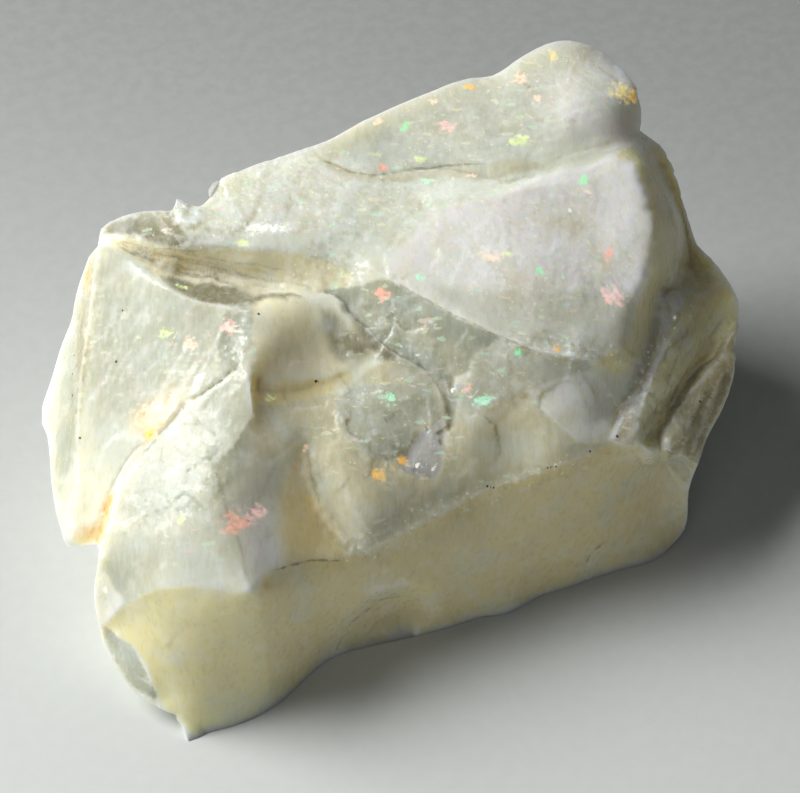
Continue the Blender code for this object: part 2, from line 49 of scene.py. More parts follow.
# ---- the slanted sheet and the eye
SHEET_MIDDLE = np.array((-0.0000548, -0.0014166, 0.012))
SHEET_TURN = math.radians(-27)
SHEET_TILT = math.radians(50)
EYE_DISTANCE = 0.260
PICTURE_WIDTH = 0.064
SENSOR_WIDTH = 36.0

RIGHT = np.array((math.cos(SHEET_TURN), math.sin(SHEET_TURN), 0))
AWAY = np.array((-math.sin(SHEET_TURN), math.cos(SHEET_TURN), 0))
ABOVE = np.array((0, 0, 1))
UP = math.sin(SHEET_TILT) * AWAY + math.cos(SHEET_TILT) * ABOVE
TOWARDS_EYE = np.cross(RIGHT, UP)
EYE = SHEET_MIDDLE + EYE_DISTANCE * TOWARDS_EYE

# ---- colours of the stone, as linear light: their own milky, waxy and rusty tones, and greys, darks and whites that carry painted shade and painted light
MILK = (0.86, 0.88, 0.72)
WHITE = (0.98, 0.98, 0.91)
PALE = (0.92, 0.94, 0.86)
FROST = (0.72, 0.80, 0.77)
MIST = (0.68, 0.70, 0.59)
HAZE = (0.56, 0.58, 0.46)
# SHADE and the dark brown below it are painted shade: darker colour laid where the stone should look
# shaded.
SHADE = (0.44, 0.47, 0.37)
DARK_BROWN_PAINTED_SHADE = (0.21, 0.20, 0.12)
CREAM = (0.90, 0.86, 0.62)
BUTTER = (0.90, 0.84, 0.47)
HONEY = (0.83, 0.74, 0.41)
WAX = (0.68, 0.65, 0.45)
OLIVE = (0.38, 0.33, 0.17)
AMBER = (0.92, 0.77, 0.37)
RUST = (0.84, 0.56, 0.20)
LILAC = (0.55, 0.55, 0.52)

# ---- drawn relief
# Places are read off the 800 x 793 photo.
MIDDLE_X, MIDDLE_Y = 400, 396.5
PIXELS_PER_MM = 12.5


def px(x, y):
    """The place on the sheet, in mm, of a pixel of the photo."""
    return round((x - MIDDLE_X) / PIXELS_PER_MM, 1), round((MIDDLE_Y - y) / PIXELS_PER_MM, 1)


def path(*numbers):
    """A line on the sheet through pixels of the photo, given as x, y, x, y and so on."""
    return tuple(px(x, y) for x, y in zip(numbers[::2], numbers[1::2]))


# Lines that several of the tables share.
HOLLOW_CRACK = path(442,398, 436,384, 428,372, 415,363, 402,358, 392,350, 380,342, 372,332, 362,324,
    353,316, 345,304, 330,296, 315,289)
PLATE_FOOT = path(391,279, 405,288, 425,299, 448,312, 470,322, 482,329, 500,337, 520,345, 545,354)
VALLEY_CRACK = path(318,157, 335,165, 350,171, 372,175, 395,171, 420,168, 450,165, 490,163)
SCOOP_CREASE = path(152,263, 170,271, 190,275, 212,279, 236,286, 260,292, 282,295, 300,296)
GROOVE_FOOT = path(268,573, 283,568, 300,563, 318,560, 335,560, 350,559)
FRONT_CRACK = path(608,539, 600,547, 592,554, 586,563, 583,573)
BROW_START = path(104,627, 118,612, 133,600, 150,592, 175,586)
FRONT_EDGE = path(398,534, 440,513, 496,486, 560,464, 604,447)
LIP_EDGE = path(628,158, 640,175, 650,200, 655,230, 654,260, 645,290, 632,320, 622,345)
GROOVE, RIDGE, LEDGE, FOLD = "groove", "ridge", "ledge", "fold"
# Name, kind, height, width, points. A ledge is high on the left of its way along, and a fold is a crest.
RELIEF_LINES = (
    ("iron crack", GROOVE, 0.15, 0.13, path(247,358, 225,377, 208,389, 190,402, 170,420, 152,440, 136,455,
        124,472, 114,494)),
    ("hollow crack", LEDGE, 0.15, 0.16, HOLLOW_CRACK),
    ("plate foot", LEDGE, 0.14, 0.14, PLATE_FOOT + path(570,358, 600,361)),
    ("valley crack", GROOVE, 0.08, 0.16, VALLEY_CRACK),
    ("scoop crease", GROOVE, 0.07, 0.16, SCOOP_CREASE),
    ("scoop flake", RIDGE, 0.08, 0.12, path(186,269, 205,273, 225,277, 245,283, 262,289)),
    ("hollow shelf", LEDGE, 0.16, 0.60, path(254,386, 275,388, 300,387, 322,380, 345,371, 368,357)),
    ("nose line", LEDGE, -0.07, 0.14, path(205,445, 213,467, 223,495, 231,523, 241,551, 248,586)),
    ("groove foot", GROOVE, 0.10, 0.16, GROOVE_FOOT),
    ("front crack", GROOVE, 0.08, 0.12, FRONT_CRACK),
    ("glint ledge", LEDGE, 0.14, 0.16, path(300,227, 280,229, 262,231, 240,231, 224,226)),
    ("top edge 1", RIDGE, 0.05, 0.14, path(277,178, 285,188, 295,195, 305,198, 335,196, 350,190, 372,187)),
    ("top edge 2", LEDGE, 0.08, 0.14, path(250,203, 262,214, 275,222, 292,224)),
    ("top edge 3", LEDGE, 0.10, 0.14, path(127,232, 136,222, 150,213, 160,221, 170,234)),
    ("top edge 4", LEDGE, 0.07, 0.14, path(318,202, 316,210, 318,220)),
    ("top edge 5", LEDGE, 0.07, 0.16, path(244,172, 252,180, 262,178, 272,170, 280,160)),
    ("plate flake", LEDGE, 0.05, 0.14, path(466,236, 463,252, 458,268, 451,283, 450,298)),
    ("plate fold", LEDGE, 0.05, 0.30, path(412,196, 428,204, 436,222, 432,246)),
    ("flake edge 2", LEDGE, 0.10, 0.14, path(334,402, 336,414, 343,427)),
    ("flake edge 3", RIDGE, 0.09, 0.12, path(441,374, 446,388, 450,403)),
    ("flake edge 4", RIDGE, 0.11, 0.11, path(453,378, 456,390, 455,404)),
    ("flake edge 5", LEDGE, 0.08, 0.12, path(352,346, 365,351, 377,357, 392,363)),
    ("flake edge 6", LEDGE, 0.10, 0.14, path(326,488, 336,491, 346,481, 353,470)),
    ("flake edge 8", LEDGE, 0.08, 0.12, path(365,386, 380,388, 396,396)),
    ("small ridge", RIDGE, 0.11, 0.14, path(487,337, 480,350, 475,360, 466,372)),
    ("scar line", RIDGE, 0.09, 0.12, path(525,390, 535,400, 548,412, 560,425, 576,438)),
    ("scar arc", LEDGE, 0.08, 0.25, path(592,430, 598,410, 592,388, 580,372, 562,362)),
    ("ridge chip 1", LEDGE, 0.12, 0.16, path(352,556, 366,549, 384,546, 398,536)),
    ("ridge chip 2", LEDGE, 0.10, 0.14, path(430,521, 446,512, 462,503, 480,493, 496,488)),
    ("ridge chip 3", LEDGE, 0.10, 0.14, path(536,475, 548,468, 560,466, 575,457, 590,452, 604,447)),
    ("foot chip arc 2", LEDGE, 0.10, 0.14, path(362,645, 372,628, 386,615, 400,609)),
    ("spine flake", RIDGE, 0.12, 0.14, path(664,300, 662,316, 666,330)),
    ("strip flake 1", LEDGE, 0.12, 0.14, path(736,356, 724,374, 712,394, 702,414, 694,436, 688,462)),
    ("strip flake 2", LEDGE, 0.09, 0.14, path(722,384, 710,405, 700,426, 690,452, 686,474)),
    ("strip flake 3", LEDGE, 0.09, 0.14, path(728,388, 716,412, 706,432, 698,452)),
    ("brow", FOLD, 0.20, 0.45, BROW_START + path(205,587, 232,592, 254,600)),
    ("bevel edge", FOLD, 0.16, 0.25, path(106,630, 118,637, 134,650, 143,664, 150,680, 157,700)),
    ("front edge", FOLD, 0.12, 0.25, path(352,558) + FRONT_EDGE),
    ("groove crest", FOLD, 0.16, 0.15, path(303,446, 310,480, 319,506, 336,530, 350,548)),
    ("lip rim", RIDGE, 0.12, 0.16, path(646,152, 661,180, 673,210, 679,240, 676,265, 668,292)),
    ("spine head edge", FOLD, 0.14, 0.16, path(660,290, 663,304, 668,316, 672,330)),
    ("left flake", LEDGE, 0.12, 0.14, path(80,546, 92,528, 99,512, 104,498)),
)
# Streaks scratched by the break: name, middle, half length and width, way, height, gap between them.
STREAK_FIELDS = (
    ("scoop", px(215,265), (6.8, 2.1), -10, 0.10, 0.42),
    ("scoop head", px(135,250), (3.0, 0.9), -14, 0.06, 0.30),
    ("shell", px(690,365), (7.2, 2.6), 52, 0.16, 0.50),
    ("right strip", px(708,415), (5.5, 1.3), 60, 0.10, 0.30),
    ("riser", px(545,168), (7.0, 1.4), 14, 0.07, 0.35),
    ("plate", px(560,255), (8.0, 6.5), 82, 0.018, 0.35),
    ("peak side", px(520,130), (6.5, 2.6), 12, 0.05, 0.40),
    ("left face", px(140,360), (5.5, 7.0), 62, 0.035, 0.50),
    ("glint", px(260,228), (3.4, 0.6), -2, 0.05, 0.25),
)
# Ground broken into small flat faces: middle, half length and width, way, how far the faces lean.
FACET_FIELDS = (
    (px(400,400), (9.0, 8.0), 0, 0.10),
    (px(510,380), (7.0, 3.0), 10, 0.10),
    (px(220,205), (8.0, 2.4), 24, 0.12),
    (px(370,250), (7.0, 4.5), 0, 0.06),
    (px(560,100), (7.0, 3.5), 20, 0.07),
    (px(180,500), (5.0, 8.0), -20, 0.05),
    (px(640,400), (3.5, 4.5), 60, 0.14),
    (px(430,630), (9.0, 2.0), 14, 0.08),
    (px(130,690), (5.0, 5.0), 0, 0.08),
)
# Rough, sugary ground: name, middle, half length and width, way, share.
SUGAR_FIELDS = (
    ("top left", px(250,200), (9.0, 3.4), 25, 0.9),
    ("top middle", px(370,200), (7.0, 3.8), 5, 0.8),
    ("plate", px(540,250), (10.0, 6.5), -10, 0.55),
    ("plate foot", px(560,350), (5.5, 1.5), -8, 1.0),
    ("peak", px(500,110), (12.0, 4.5), 22, 0.55),
    ("scoop right", px(330,265), (3.0, 2.6), 20, 1.0),
    ("hollow right", px(395,330), (4.5, 3.0), -40, 0.9),
    ("middle", px(390,430), (6.0, 4.5), 0, 0.7),
    ("middle right", px(500,375), (4.5, 3.0), 0, 0.7),
    ("left face rim", px(238,340), (1.3, 3.2), 5, 1.0),
    ("left face", px(150,360), (6.0, 7.0), 60, 0.35),
    ("nose", px(190,500), (5.0, 6.0), 60, 0.4),
    ("front ridge", px(480,495), (11.0, 1.0), 19, 0.9),
    ("front ridge low", px(380,545), (3.5, 1.0), 14, 0.9),
    ("spine", px(655,365), (6.8, 1.1), 62, 0.9),
)
# Where an edge turns round: middle, half length and width, way, rounds of smoothing.
SOFT_FIELDS = (
    (px(645,250), (2.6, 8.0), -8, 14),
    (px(625,330), (2.0, 3.5), -30, 14),
    (px(602,138), (5.6, 2.3), 18, 160),
    (px(312,340), (4.6, 3.4), 10, 110),
    (px(305,505), (2.6, 6.0), 6, 14),
    (px(255,275), (7.0, 2.2), -10, 10),
    (px(185,265), (5.0, 1.6), -18, 20),
    (px(640,400), (3.5, 3.5), 40, 3),
    (px(188,728), (1.6, 1.6), 0, 12),
    (px(400,620), (4.4, 2.2), 18, 40),
    (px(699,386), (4.8, 1.6), 57, 40),
)
# Low places filled out before that: middle, half length and width, way, height.
FILLS = (
    (px(622,122), (4.2, 2.6), -20, 0.5),
    (px(289,343), (2.4, 2.8), 0, 1.1),
    (px(697,386), (4.6, 0.8), 57, 1.0),
)
# Colour of the stone by place, partly its own tones and partly painted light and shade, darker on faces the
# window lights and paler on faces in shade: name, middle, half length and width, way, colour, share.
TINTS = (
    ("top", px(330,190), (22.0, 7.0), 20, FROST, 0.5),
    ("peak", px(480,110), (9.0, 3.6), 22, MIST, 0.9),
    ("peak facet", px(600,90), (4.0, 3.6), 0, WHITE, 0.7),
    # Painted light: white over the dark fold below the peak.
    ("peak foot", px(606,128), (3.6, 1.5), -12, WHITE, 0.95),
    ("top middle", px(290,200), (5.0, 3.0), 20, PALE, 0.6),
    # Painted shade on the left face and the nose, which face the window.
    ("left face", px(150,350), (7.0, 9.0), 60, HAZE, 0.8),
    ("nose", px(185,500), (5.2, 7.5), -22, MIST, 1.0),
    ("nose top", px(190,455), (3.2, 2.6), -22, SHADE, 0.9),
    ("left strip", px(68,420), (0.9, 6.0), -6, SHADE, 0.9),
    ("left top", px(105,290), (1.6, 3.0), -10, HAZE, 0.7),
    ("foot chip", px(388,620), (4.0, 1.5), 22, CREAM, 0.6),
    ("nose head", px(222,425), (2.2, 4.0), -30, SHADE, 0.9),
    ("nose side", px(125,580), (2.2, 4.5), -10, SHADE, 0.6),
    # Painted light on the nose's shaded right side.
    ("nose right", px(262,550), (1.6, 4.5), 8, WHITE, 0.95),
    ("left tip", px(86,536), (1.3, 0.8), 20, RUST, 0.9),
    ("iron halo", px(158,410), (2.2, 1.1), 38, RUST, 0.7),
    ("left rim", px(82,340), (0.5, 7.0), -6, OLIVE, 0.6),
    ("ridge rim", px(243,330), (0.7, 3.4), 0, WHITE, 0.6),
)
# Broken faces, coloured partly in their own tones and partly in painted light and shade: name, colour,
# share, softness of the rim, height above the ground around, outline.
FACES = (
    # Painted light: a paler, warmer colour on the shaded front face.
    ("front", HONEY, 0.95, 0.9, 0, path(256,598, 268,575, 300,562, 350,556) + FRONT_EDGE + path(640,445,
        668,450, 690,480, 690,520, 674,560, 620,580, 560,592, 500,612, 440,634, 400,648, 345,660, 300,700,
        262,735)),
    # Painted shade on the nose's crown, which faces the window.
    ("nose crown", SHADE, 0.9, 1.5, 0, path(150,443, 185,424, 225,406, 243,430, 236,478, 202,508, 152,520,
        122,522, 116,495, 130,465)),
    # Painted light on the shaded front of the nose.
    ("nose front", BUTTER, 0.95, 0.3, 0.0, BROW_START + path(205,588, 235,593, 256,598, 264,640, 268,735,
        205,740, 170,712, 158,692, 150,668, 138,650, 120,636)),
    # Painted shade on the bevel, which faces the window.
    ("bevel", SHADE, 0.9, 0.2, -0.06, path(103,628, 118,635, 134,648, 143,663, 150,680, 156,698, 138,692,
        120,672, 106,648)),
    # Painted highlight: the glint on the nose's corner.
    ("nose corner", WHITE, 0.8, 0.3, 0.05, path(97,580, 104,572, 116,590, 122,606, 104,626, 95,606)),
    # The groove's own amber, made paler as painted light in its shade.
    ("groove", AMBER, 0.9, 1.6, 0, path(284,470, 292,452, 300,440, 308,450, 314,478, 320,502, 332,522,
        345,548, 352,560, 320,562, 290,564, 283,540, 281,500)),
    # Painted light on the scoop's wall, and painted shade on the band at its foot.
    ("scoop", CREAM, 0.95, 0.4, -0.03, path(100,239, 125,237, 160,245, 178,249, 210,250, 250,251, 290,253,
        320,258, 345,268, 352,280, 340,290, 300,299, 250,304, 205,300, 180,291, 155,274, 128,254, 108,247)),
    ("scoop foot", DARK_BROWN_PAINTED_SHADE, 0.9, 0.3, 0, path(160,273, 180,279, 200,283, 235,288, 262,293, 300,297, 300,303,
        250,306, 205,302, 180,292, 166,283)),
    # Dark brown top left: partly its own colour, partly painted shade.
    ("top left", DARK_BROWN_PAINTED_SHADE, 0.9, 0.4, 0, path(98,237, 108,222, 132,212, 150,204, 172,204, 176,222, 185,236,
        178,248, 160,243, 125,235)),
    ("spur", FROST, 0.9, 0.2, 0.10, path(176,198, 200,205, 214,214, 200,222, 186,228, 176,222)),
    # Painted light in the shaded hollow, and painted shade on its back wall and along its crack.
    ("hollow", CREAM, 0.95, 0.5, 0, path(253,306, 262,301, 300,299, 316,302, 330,313, 345,322, 362,336,
        372,350, 360,360, 345,370, 322,377, 300,379, 275,377, 254,377)),
    ("hollow back", DARK_BROWN_PAINTED_SHADE, 0.9, 1.4, 0, path(322,312, 335,316, 350,328, 366,342, 370,352, 358,360, 340,362,
        328,345)),
    ("hollow band", HONEY, 0.95, 0.4, 0, path(253,377, 275,379, 300,381, 322,379, 345,371, 354,380,
        335,392, 315,397, 290,403, 254,404)),
    ("hollow crack", DARK_BROWN_PAINTED_SHADE, 0.85, 0.7, -0.03, path(341,291, 350,300, 362,318, 378,338, 400,358, 426,376,
        446,396, 452,420, 444,428, 436,404, 418,386, 392,366, 368,346, 352,324, 340,304)),
    ("hollow foot", WAX, 0.9, 0.3, 0, path(254,404, 290,403, 335,393, 340,410, 345,440, 330,465, 312,450,
        299,440, 285,452, 264,462, 252,432)),
    # Painted shade on the middle slope.
    ("upper middle", SHADE, 0.95, 0.3, 0, path(318,290, 345,288, 391,280, 425,300, 470,324, 500,339,
        480,352, 466,372, 455,378, 440,380, 428,373, 402,359, 380,343, 362,325, 345,305)),
    ("upper flake", HAZE, 0.9, 0.3, 0.04, path(392,306, 404,312, 418,324, 429,338, 432,354, 428,364,
        415,355, 404,341, 396,326)),
    ("middle ground", WAX, 0.95, 0.4, 0, path(340,398, 372,366, 402,360, 428,374, 442,400, 446,450,
        440,500, 398,532, 352,552, 340,528, 322,496, 318,448, 345,440)),
    ("middle flake", HAZE, 0.95, 0.4, 0.04, path(336,402, 350,389, 372,384, 396,383, 418,386, 437,399,
        440,412, 426,427, 414,436, 405,452, 380,460, 352,442, 339,424)),
    ("lilac facet", LILAC, 0.95, 0.2, -0.05, path(417,434, 427,429, 440,416, 444,440, 442,460, 437,477,
        424,479, 405,471, 404,456)),
    ("ridge facet", MIST, 0.9, 0.3, 0.03, path(500,339, 545,356, 582,362, 590,372, 560,380, 525,392,
        500,404, 478,411, 463,408, 458,398, 456,385, 468,372, 482,352)),
    # Painted shade in the notch.
    ("notch", DARK_BROWN_PAINTED_SHADE, 0.8, 0.3, -0.04, path(438,378, 452,378, 457,395, 456,420, 447,430, 444,405)),
    ("scar", WAX, 0.95, 0.3, 0, path(457,404, 478,412, 500,404, 525,392, 545,412, 578,440, 600,446,
        560,463, 530,473, 500,484, 470,494, 446,506, 444,480, 447,440)),
    ("scar top", PALE, 0.8, 0.3, 0.03, path(525,391, 560,379, 590,372, 606,384, 612,410, 606,430, 580,440,
        548,412)),
    # The pale plate, partly painted light.
    ("plate", WHITE, 0.95, 0.4, 0, path(412,235, 440,205, 490,196, 530,183, 560,172, 590,159, 613,152) +
        LIP_EDGE + path(600,358, 560,356, 545,354, 500,337, 470,322, 425,299, 391,279, 388,260, 400,245)),
    ("plate low", MIST, 0.8, 1.2, 0, path(430,285, 480,290, 540,292, 600,290, 636,300, 620,345, 600,357,
        545,354, 500,337, 470,322)),
    # Warm yellows on the lip and the shell: their own colour, made paler as painted light in their shade.
    ("lip", BUTTER, 0.95, 0.6, 0, path(613,151, 630,150, 645,165, 660,195, 672,225, 677,250, 672,280,
        660,305, 650,330, 640,355, 628,374, 610,372, 598,360) + LIP_EDGE[::-1]),
    ("behind lip", HONEY, 0.95, 0.3, 0, path(645,152, 660,146, 676,168, 690,195, 700,225, 712,245,
        730,262, 745,280, 745,302, 700,291, 680,289, 664,293, 673,280, 679,250, 673,225, 661,195, 648,170)),
    ("shell", BUTTER, 0.95, 0.3, 0, path(684,292, 745,302, 742,330, 700,368, 675,398, 655,440, 640,442,
        640,410, 655,375, 668,335)),
    ("shell hem", OLIVE, 0.8, 0.2, 0, path(738,322, 746,345, 722,372, 696,408, 672,446, 655,449, 655,438,
        676,400, 702,368)),
    ("right strip", OLIVE, 0.9, 0.3, 0, path(746,345, 742,380, 725,410, 705,450, 694,484, 672,470,
        670,448, 695,408, 721,373)),
    # Painted highlight on the spine and its head, which catch the light.
    ("spine", WHITE, 0.9, 0.25, 0.03, path(659,293, 683,294, 669,335, 656,375, 641,408, 641,442, 613,441,
        614,425, 630,395, 645,360, 655,320)),
    ("spine head", WHITE, 0.8, 0.2, 0.05, path(662,296, 682,296, 676,318, 666,326, 660,312)),
    ("spine foot", OLIVE, 0.7, 0.2, 0.04, path(614,440, 640,441, 640,403, 626,412)),
    # Painted shade on the rim facet.
    ("rim facet", SHADE, 0.8, 0.2, 0.05, path(226,310, 249,303, 251,330, 247,352, 240,370, 226,374,
        216,350)),
    ("valley", WAX, 0.7, 0.4, 0, path(313,152, 345,168, 375,175, 400,171, 440,166, 490,163, 530,160,
        540,170, 490,178, 440,176, 400,182, 360,180, 330,170)),
)
# Clouds in the stone: size, noise where they start and are full, share, colour, shift.
CLOUDS = (
    (5.0, 0.0, 0.6, 0.30, WAX, (1, 2, 3)),
    (2.6, 0.1, 0.7, 0.25, WAX, (5, 1, 7)),
    (3.4, 0.0, 0.6, 0.30, FROST, (9, 4, 2)),
    (1.2, 0.0, 0.8, 0.25, WHITE, (3, 8, 1)),
)
# Iron stain: share, reach to each side, points.
STAIN_LINES = (
    (1.0, 0.75, path(166,414, 157,425, 149,436, 143,445)),
    (0.7, 0.35, path(143,445, 130,465, 118,485)),
    (1.0, 0.90, path(118,485, 108,505, 102,525, 96,546)),
    (0.9, 0.50, path(92,256, 88,275, 86,300)),
    (0.9, 0.60, path(68,545, 80,546, 95,544, 104,520)),
    (0.55, 0.30, path(208,389, 190,402, 170,418)),
)
# Thin dark lines along cracks, grooves and the foot of steps, partly the stone's own cracks and partly
# painted shade where the relief steps down: share of darkness, points.
DARK_LINES = (
    (0.35, VALLEY_CRACK),
    (0.35, HOLLOW_CRACK[::-1]),
    (0.35, PLATE_FOOT),
    (0.15, SCOOP_CREASE),
    (0.5, FRONT_CRACK),
    (0.45, GROOVE_FOOT),
    (0.15, path(305,445, 312,478, 318,503, 322,515)),
    (0.9, path(384,418, 386,421, 388,425)),
    (0.4, path(416,433, 413,440, 405,451)),
    (0.4, path(243,362, 225,377, 208,389, 190,402)),
    (0.15, path(85,300, 80,350, 76,400, 78,430)),
    (0.4, path(128,250, 145,257, 160,268)),
    (0.6, path(700,402, 708,395, 714,388)),
    (0.30, path(332,660, 345,632, 360,614, 382,602, 405,597)),
    (0.22, path(694,318, 680,350, 664,395, 650,430)),
    (0.20, path(716,318, 696,352, 674,395, 658,432)),
    (0.20, path(730,330, 712,356, 694,384)),
    (0.30, path(104,238, 120,246, 140,256, 165,266, 185,272, 215,279, 240,287)),
    (0.22, path(130,246, 160,254, 190,262, 220,268, 250,276, 275,283)),
    (0.16, path(170,252, 200,257, 230,262, 262,266, 290,272)),
    (0.25, path(112,239, 145,246, 175,250, 205,251)),
)

# Play of colour, which also glows as painted light, and white painted glints: middle, radius, stretch, way
# it is drawn out, colour.
ORANGE = (1.0, 0.55, 0.09)
YELLOW = (1.0, 0.80, 0.30)
SALMON = (1.0, 0.48, 0.36)
PINK = (1.0, 0.62, 0.58)
PEACH = (1.0, 0.74, 0.58)
RED = (1.0, 0.40, 0.30)
GREEN = (0.30, 0.95, 0.45)
LIME = (0.78, 0.92, 0.42)
MINT = (0.45, 0.95, 0.66)
FLECKS_AND_GLINTS = (
    (px(624,91), 1.25, 1.7, 5, YELLOW), (px(632,97), 0.6, 1.4, 60, ORANGE),
    (px(236,523), 1.0, 1.3, 10, SALMON), (px(258,513), 0.75, 1.2, 60, PINK),
    (px(149,435), 0.55, 1.1, 60, ORANGE), (px(390,398), 0.6, 1.1, 0, MINT),
    (px(382,293), 0.65, 1.1, 0, SALMON), (px(609,254), 0.5, 1.8, 88, RED),
    (px(612,296), 0.85, 1.3, -15, PINK), (px(540,270), 0.42, 1.4, -20, GREEN),
    (px(519,353), 0.42, 1.4, 10, GREEN), (px(483,402), 0.65, 1.6, 15, MINT),
    (px(467,389), 0.42, 1.0, 0, PINK), (px(379,475), 0.65, 1.5, -15, ORANGE),
    (px(402,461), 0.42, 1.1, 0, ORANGE), (px(244,243), 0.5, 1.6, -5, LIME),
    (px(183,287), 0.5, 1.7, -5, LIME), (px(190,343), 0.62, 1.3, 30, PEACH),
    (px(229,327), 0.62, 1.2, 30, PINK), (px(165,333), 0.5, 1.6, 15, LIME),
    (px(420,278), 0.4, 1.3, 10, MINT), (px(305,448), 0.3, 1.8, 80, PEACH),
    (px(181,520), 0.34, 1.3, 70, LIME), (px(180,443), 0.75, 1.2, 70, LIME),
    (px(181,465), 0.42, 1.1, 0, PINK), (px(467,87), 0.4, 2.6, -2, ORANGE),
    (px(434,101), 0.34, 2.0, -8, PEACH), (px(378,121), 0.36, 1.8, 20, PEACH),
    (px(405,128), 0.45, 1.2, 60, GREEN), (px(446,127), 0.6, 1.8, 0, PINK),
    (px(520,78), 0.62, 1.3, 70, PEACH), (px(538,99), 0.45, 1.4, 60, PEACH),
    (px(553,56), 0.46, 1.4, -60, YELLOW), (px(383,168), 0.4, 1.5, 0, RED),
    (px(420,159), 0.45, 2.0, 5, LIME), (px(584,180), 0.5, 1.5, 75, GREEN),
    (px(589,192), 0.32, 1.2, 0, PEACH), (px(490,257), 0.62, 1.5, 0, PEACH),
    (px(507,254), 0.34, 2.0, 5, LIME), (px(472,175), 0.36, 1.6, 10, PEACH),
    (px(520,140), 0.7, 2.4, 8, LIME), (px(428,182), 0.45, 1.7, 10, MINT),
    # The white entries here are painted glints of the window, not play of colour.
    (px(259,228), 1.1, 7.5, 0, WHITE), (px(210,192), 0.18, 3.0, 90, WHITE),
    (px(184,205), 0.35, 1.4, -50, WHITE), (px(393,310), 0.16, 1.2, 0, WHITE),
    (px(417,355), 0.14, 1.2, 0, WHITE), (px(392,361), 0.13, 1.2, 0, WHITE),
    (px(402,378), 0.14, 1.2, 0, WHITE), (px(418,465), 0.2, 1.3, 70, WHITE),
    (px(434,468), 0.2, 1.3, 60, WHITE), (px(452,390), 0.2, 4.0, 80, WHITE),
    (px(675,318), 0.26, 1.5, 80, WHITE), (px(105,590), 0.28, 1.6, 70, WHITE),
    (px(555,350), 0.2, 2.0, 10, WHITE), (px(570,210), 0.16, 3.0, 85, WHITE),
    (px(200,378), 0.4, 1.6, 35, WHITE), (px(556,348), 0.36, 1.6, -15, ORANGE),
    (px(270,398), 0.4, 1.6, 0, LIME), (px(538,270), 0.3, 1.0, 0, GREEN),
    (px(662,145), 0.22, 1.0, 0, MINT),
)
SPECKS = (
    (px(316,381), 0.16), (px(259,314), 0.13), (px(488,487), 0.10), (px(494,488), 0.09),
    (px(547,468), 0.09), (px(556,467), 0.09), (px(590,451), 0.10), (px(617,436), 0.14),
    (px(700,402), 0.10), (px(116,362), 0.10), (px(74,355), 0.12), (px(72,395), 0.10),
    (px(80,438), 0.11), (px(73,374), 0.08), (px(122,310), 0.07),
)
SPECK_COLOUR = (0.02, 0.018, 0.012, 1)
STAIN_COLOUR = (0.90, 0.42, 0.08, 1)
STAIN_RIM = (0.95, 0.72, 0.36, 1)
CRACK_AND_SHADE_COLOUR = (0.16, 0.13, 0.07, 1)
PALE_MOTTLE = (0.95, 0.96, 0.90, 1)
DARK_MOTTLE = (0.60, 0.57, 0.38, 1)
WORN_RIDGE = (0.95, 0.95, 0.90, 1)
PAINTED_CREASE_SHADE = (0.42, 0.38, 0.22, 1)
PAINTED_SPARKLE = (1, 1, 0.95, 1)
NO_GLOW = (0, 0, 0, 1)
MOTTLE_SIZE, MOTTLE_STRETCH = 0.42, 0.72
GRAIN_CELL, DUST_CELL, FLECK_CELL = 0.28, 0.26, 0.15
STONE_SHADER = (
    ("IOR", 1.45),
    ("Subsurface Weight", 0.75),
    ("Subsurface Radius", (1.0, 0.82, 0.42)),
    ("Subsurface Scale", 0.0030),
    # Emission makes the flecks glow and the white glints and sparkles shine: painted light.
    ("Emission Strength", 0.42),
)

# ---- floor, lights and world
FLOOR_SIZE = 3.0
# The floor's colour fades from the near tone to the far one away from the window: a painted falloff of the
# window's light.
FLOOR_NEAR = (0.66, 0.69, 0.68, 1)
FLOOR_PAINTED_SHADE = (0.27, 0.28, 0.28, 1)
FLOOR_GRAIN = (1, 1, 1, 1)
FLOOR_ROUGHNESS = 0.65
PAINTED_FALLOFF_WAY = AWAY + 0.15 * RIGHT
PAINTED_FALLOFF_START, PAINTED_FALLOFF_END = -0.060, 0.075
LIGHT_AIM = (0, 0, 0.01)
# Name, place, width, power in watts, colour.
LIGHTS = (
    ("window", -0.43 * RIGHT + 0.14 * AWAY + 0.41 * ABOVE, 0.36, 5.4, (1.0, 0.99, 0.97)),
    ("card", -0.25 * RIGHT - 0.55 * AWAY + 0.12 * ABOVE, 0.30, 0.50, (1.0, 0.98, 0.94)),
)
WORLD_COLOUR = (0.88, 0.89, 0.90, 1)
WORLD_STRENGTH = 0.09
NEAREST_SEEN = 0.01

# ---- fine mesh
SOFT_ANGLE = math.radians(7)
CREASE_ANGLE = math.radians(18)
SUBDIVISIONS = 2
FLAT_HEIGHT = 0.1 * MM
FREE_HEIGHT = 1.0 * MM
SHADING_ANGLE = math.radians(42)
LINE_SPACING = 0.25
# How squarely the surface has to face the eye for the drawn relief to be full, and how the far side starts.
FACING_FULL = 0.25
FAR_START = 0.01
FAR_ROUNDS = 40
SHAKE_SIZE, SHAKE_REACH = 1.6, 0.16
SOFTEN_SHARE = 0.6
END_FADE = 1.2
# Reach of a line's relief to each side, in widths.
LEDGE_FALL = 9
LINE_REACH = 4
# Softness of a patch's rim, as a share of its radius.
PATCH_RIM, TINT_RIM, FILL_RIM = 0.45, 0.6, 0.8

# Bowls left by flakes: size, depth, shift of the noise.
FAR_SCARS = ((6.5, 0.75, (3, 1, 4)), (2.6, 0.22, (1, 5, 9)))
NEAR_SCARS = (3.6, 0.14, (2, 6, 5))
BOWL_FALL = 1.6
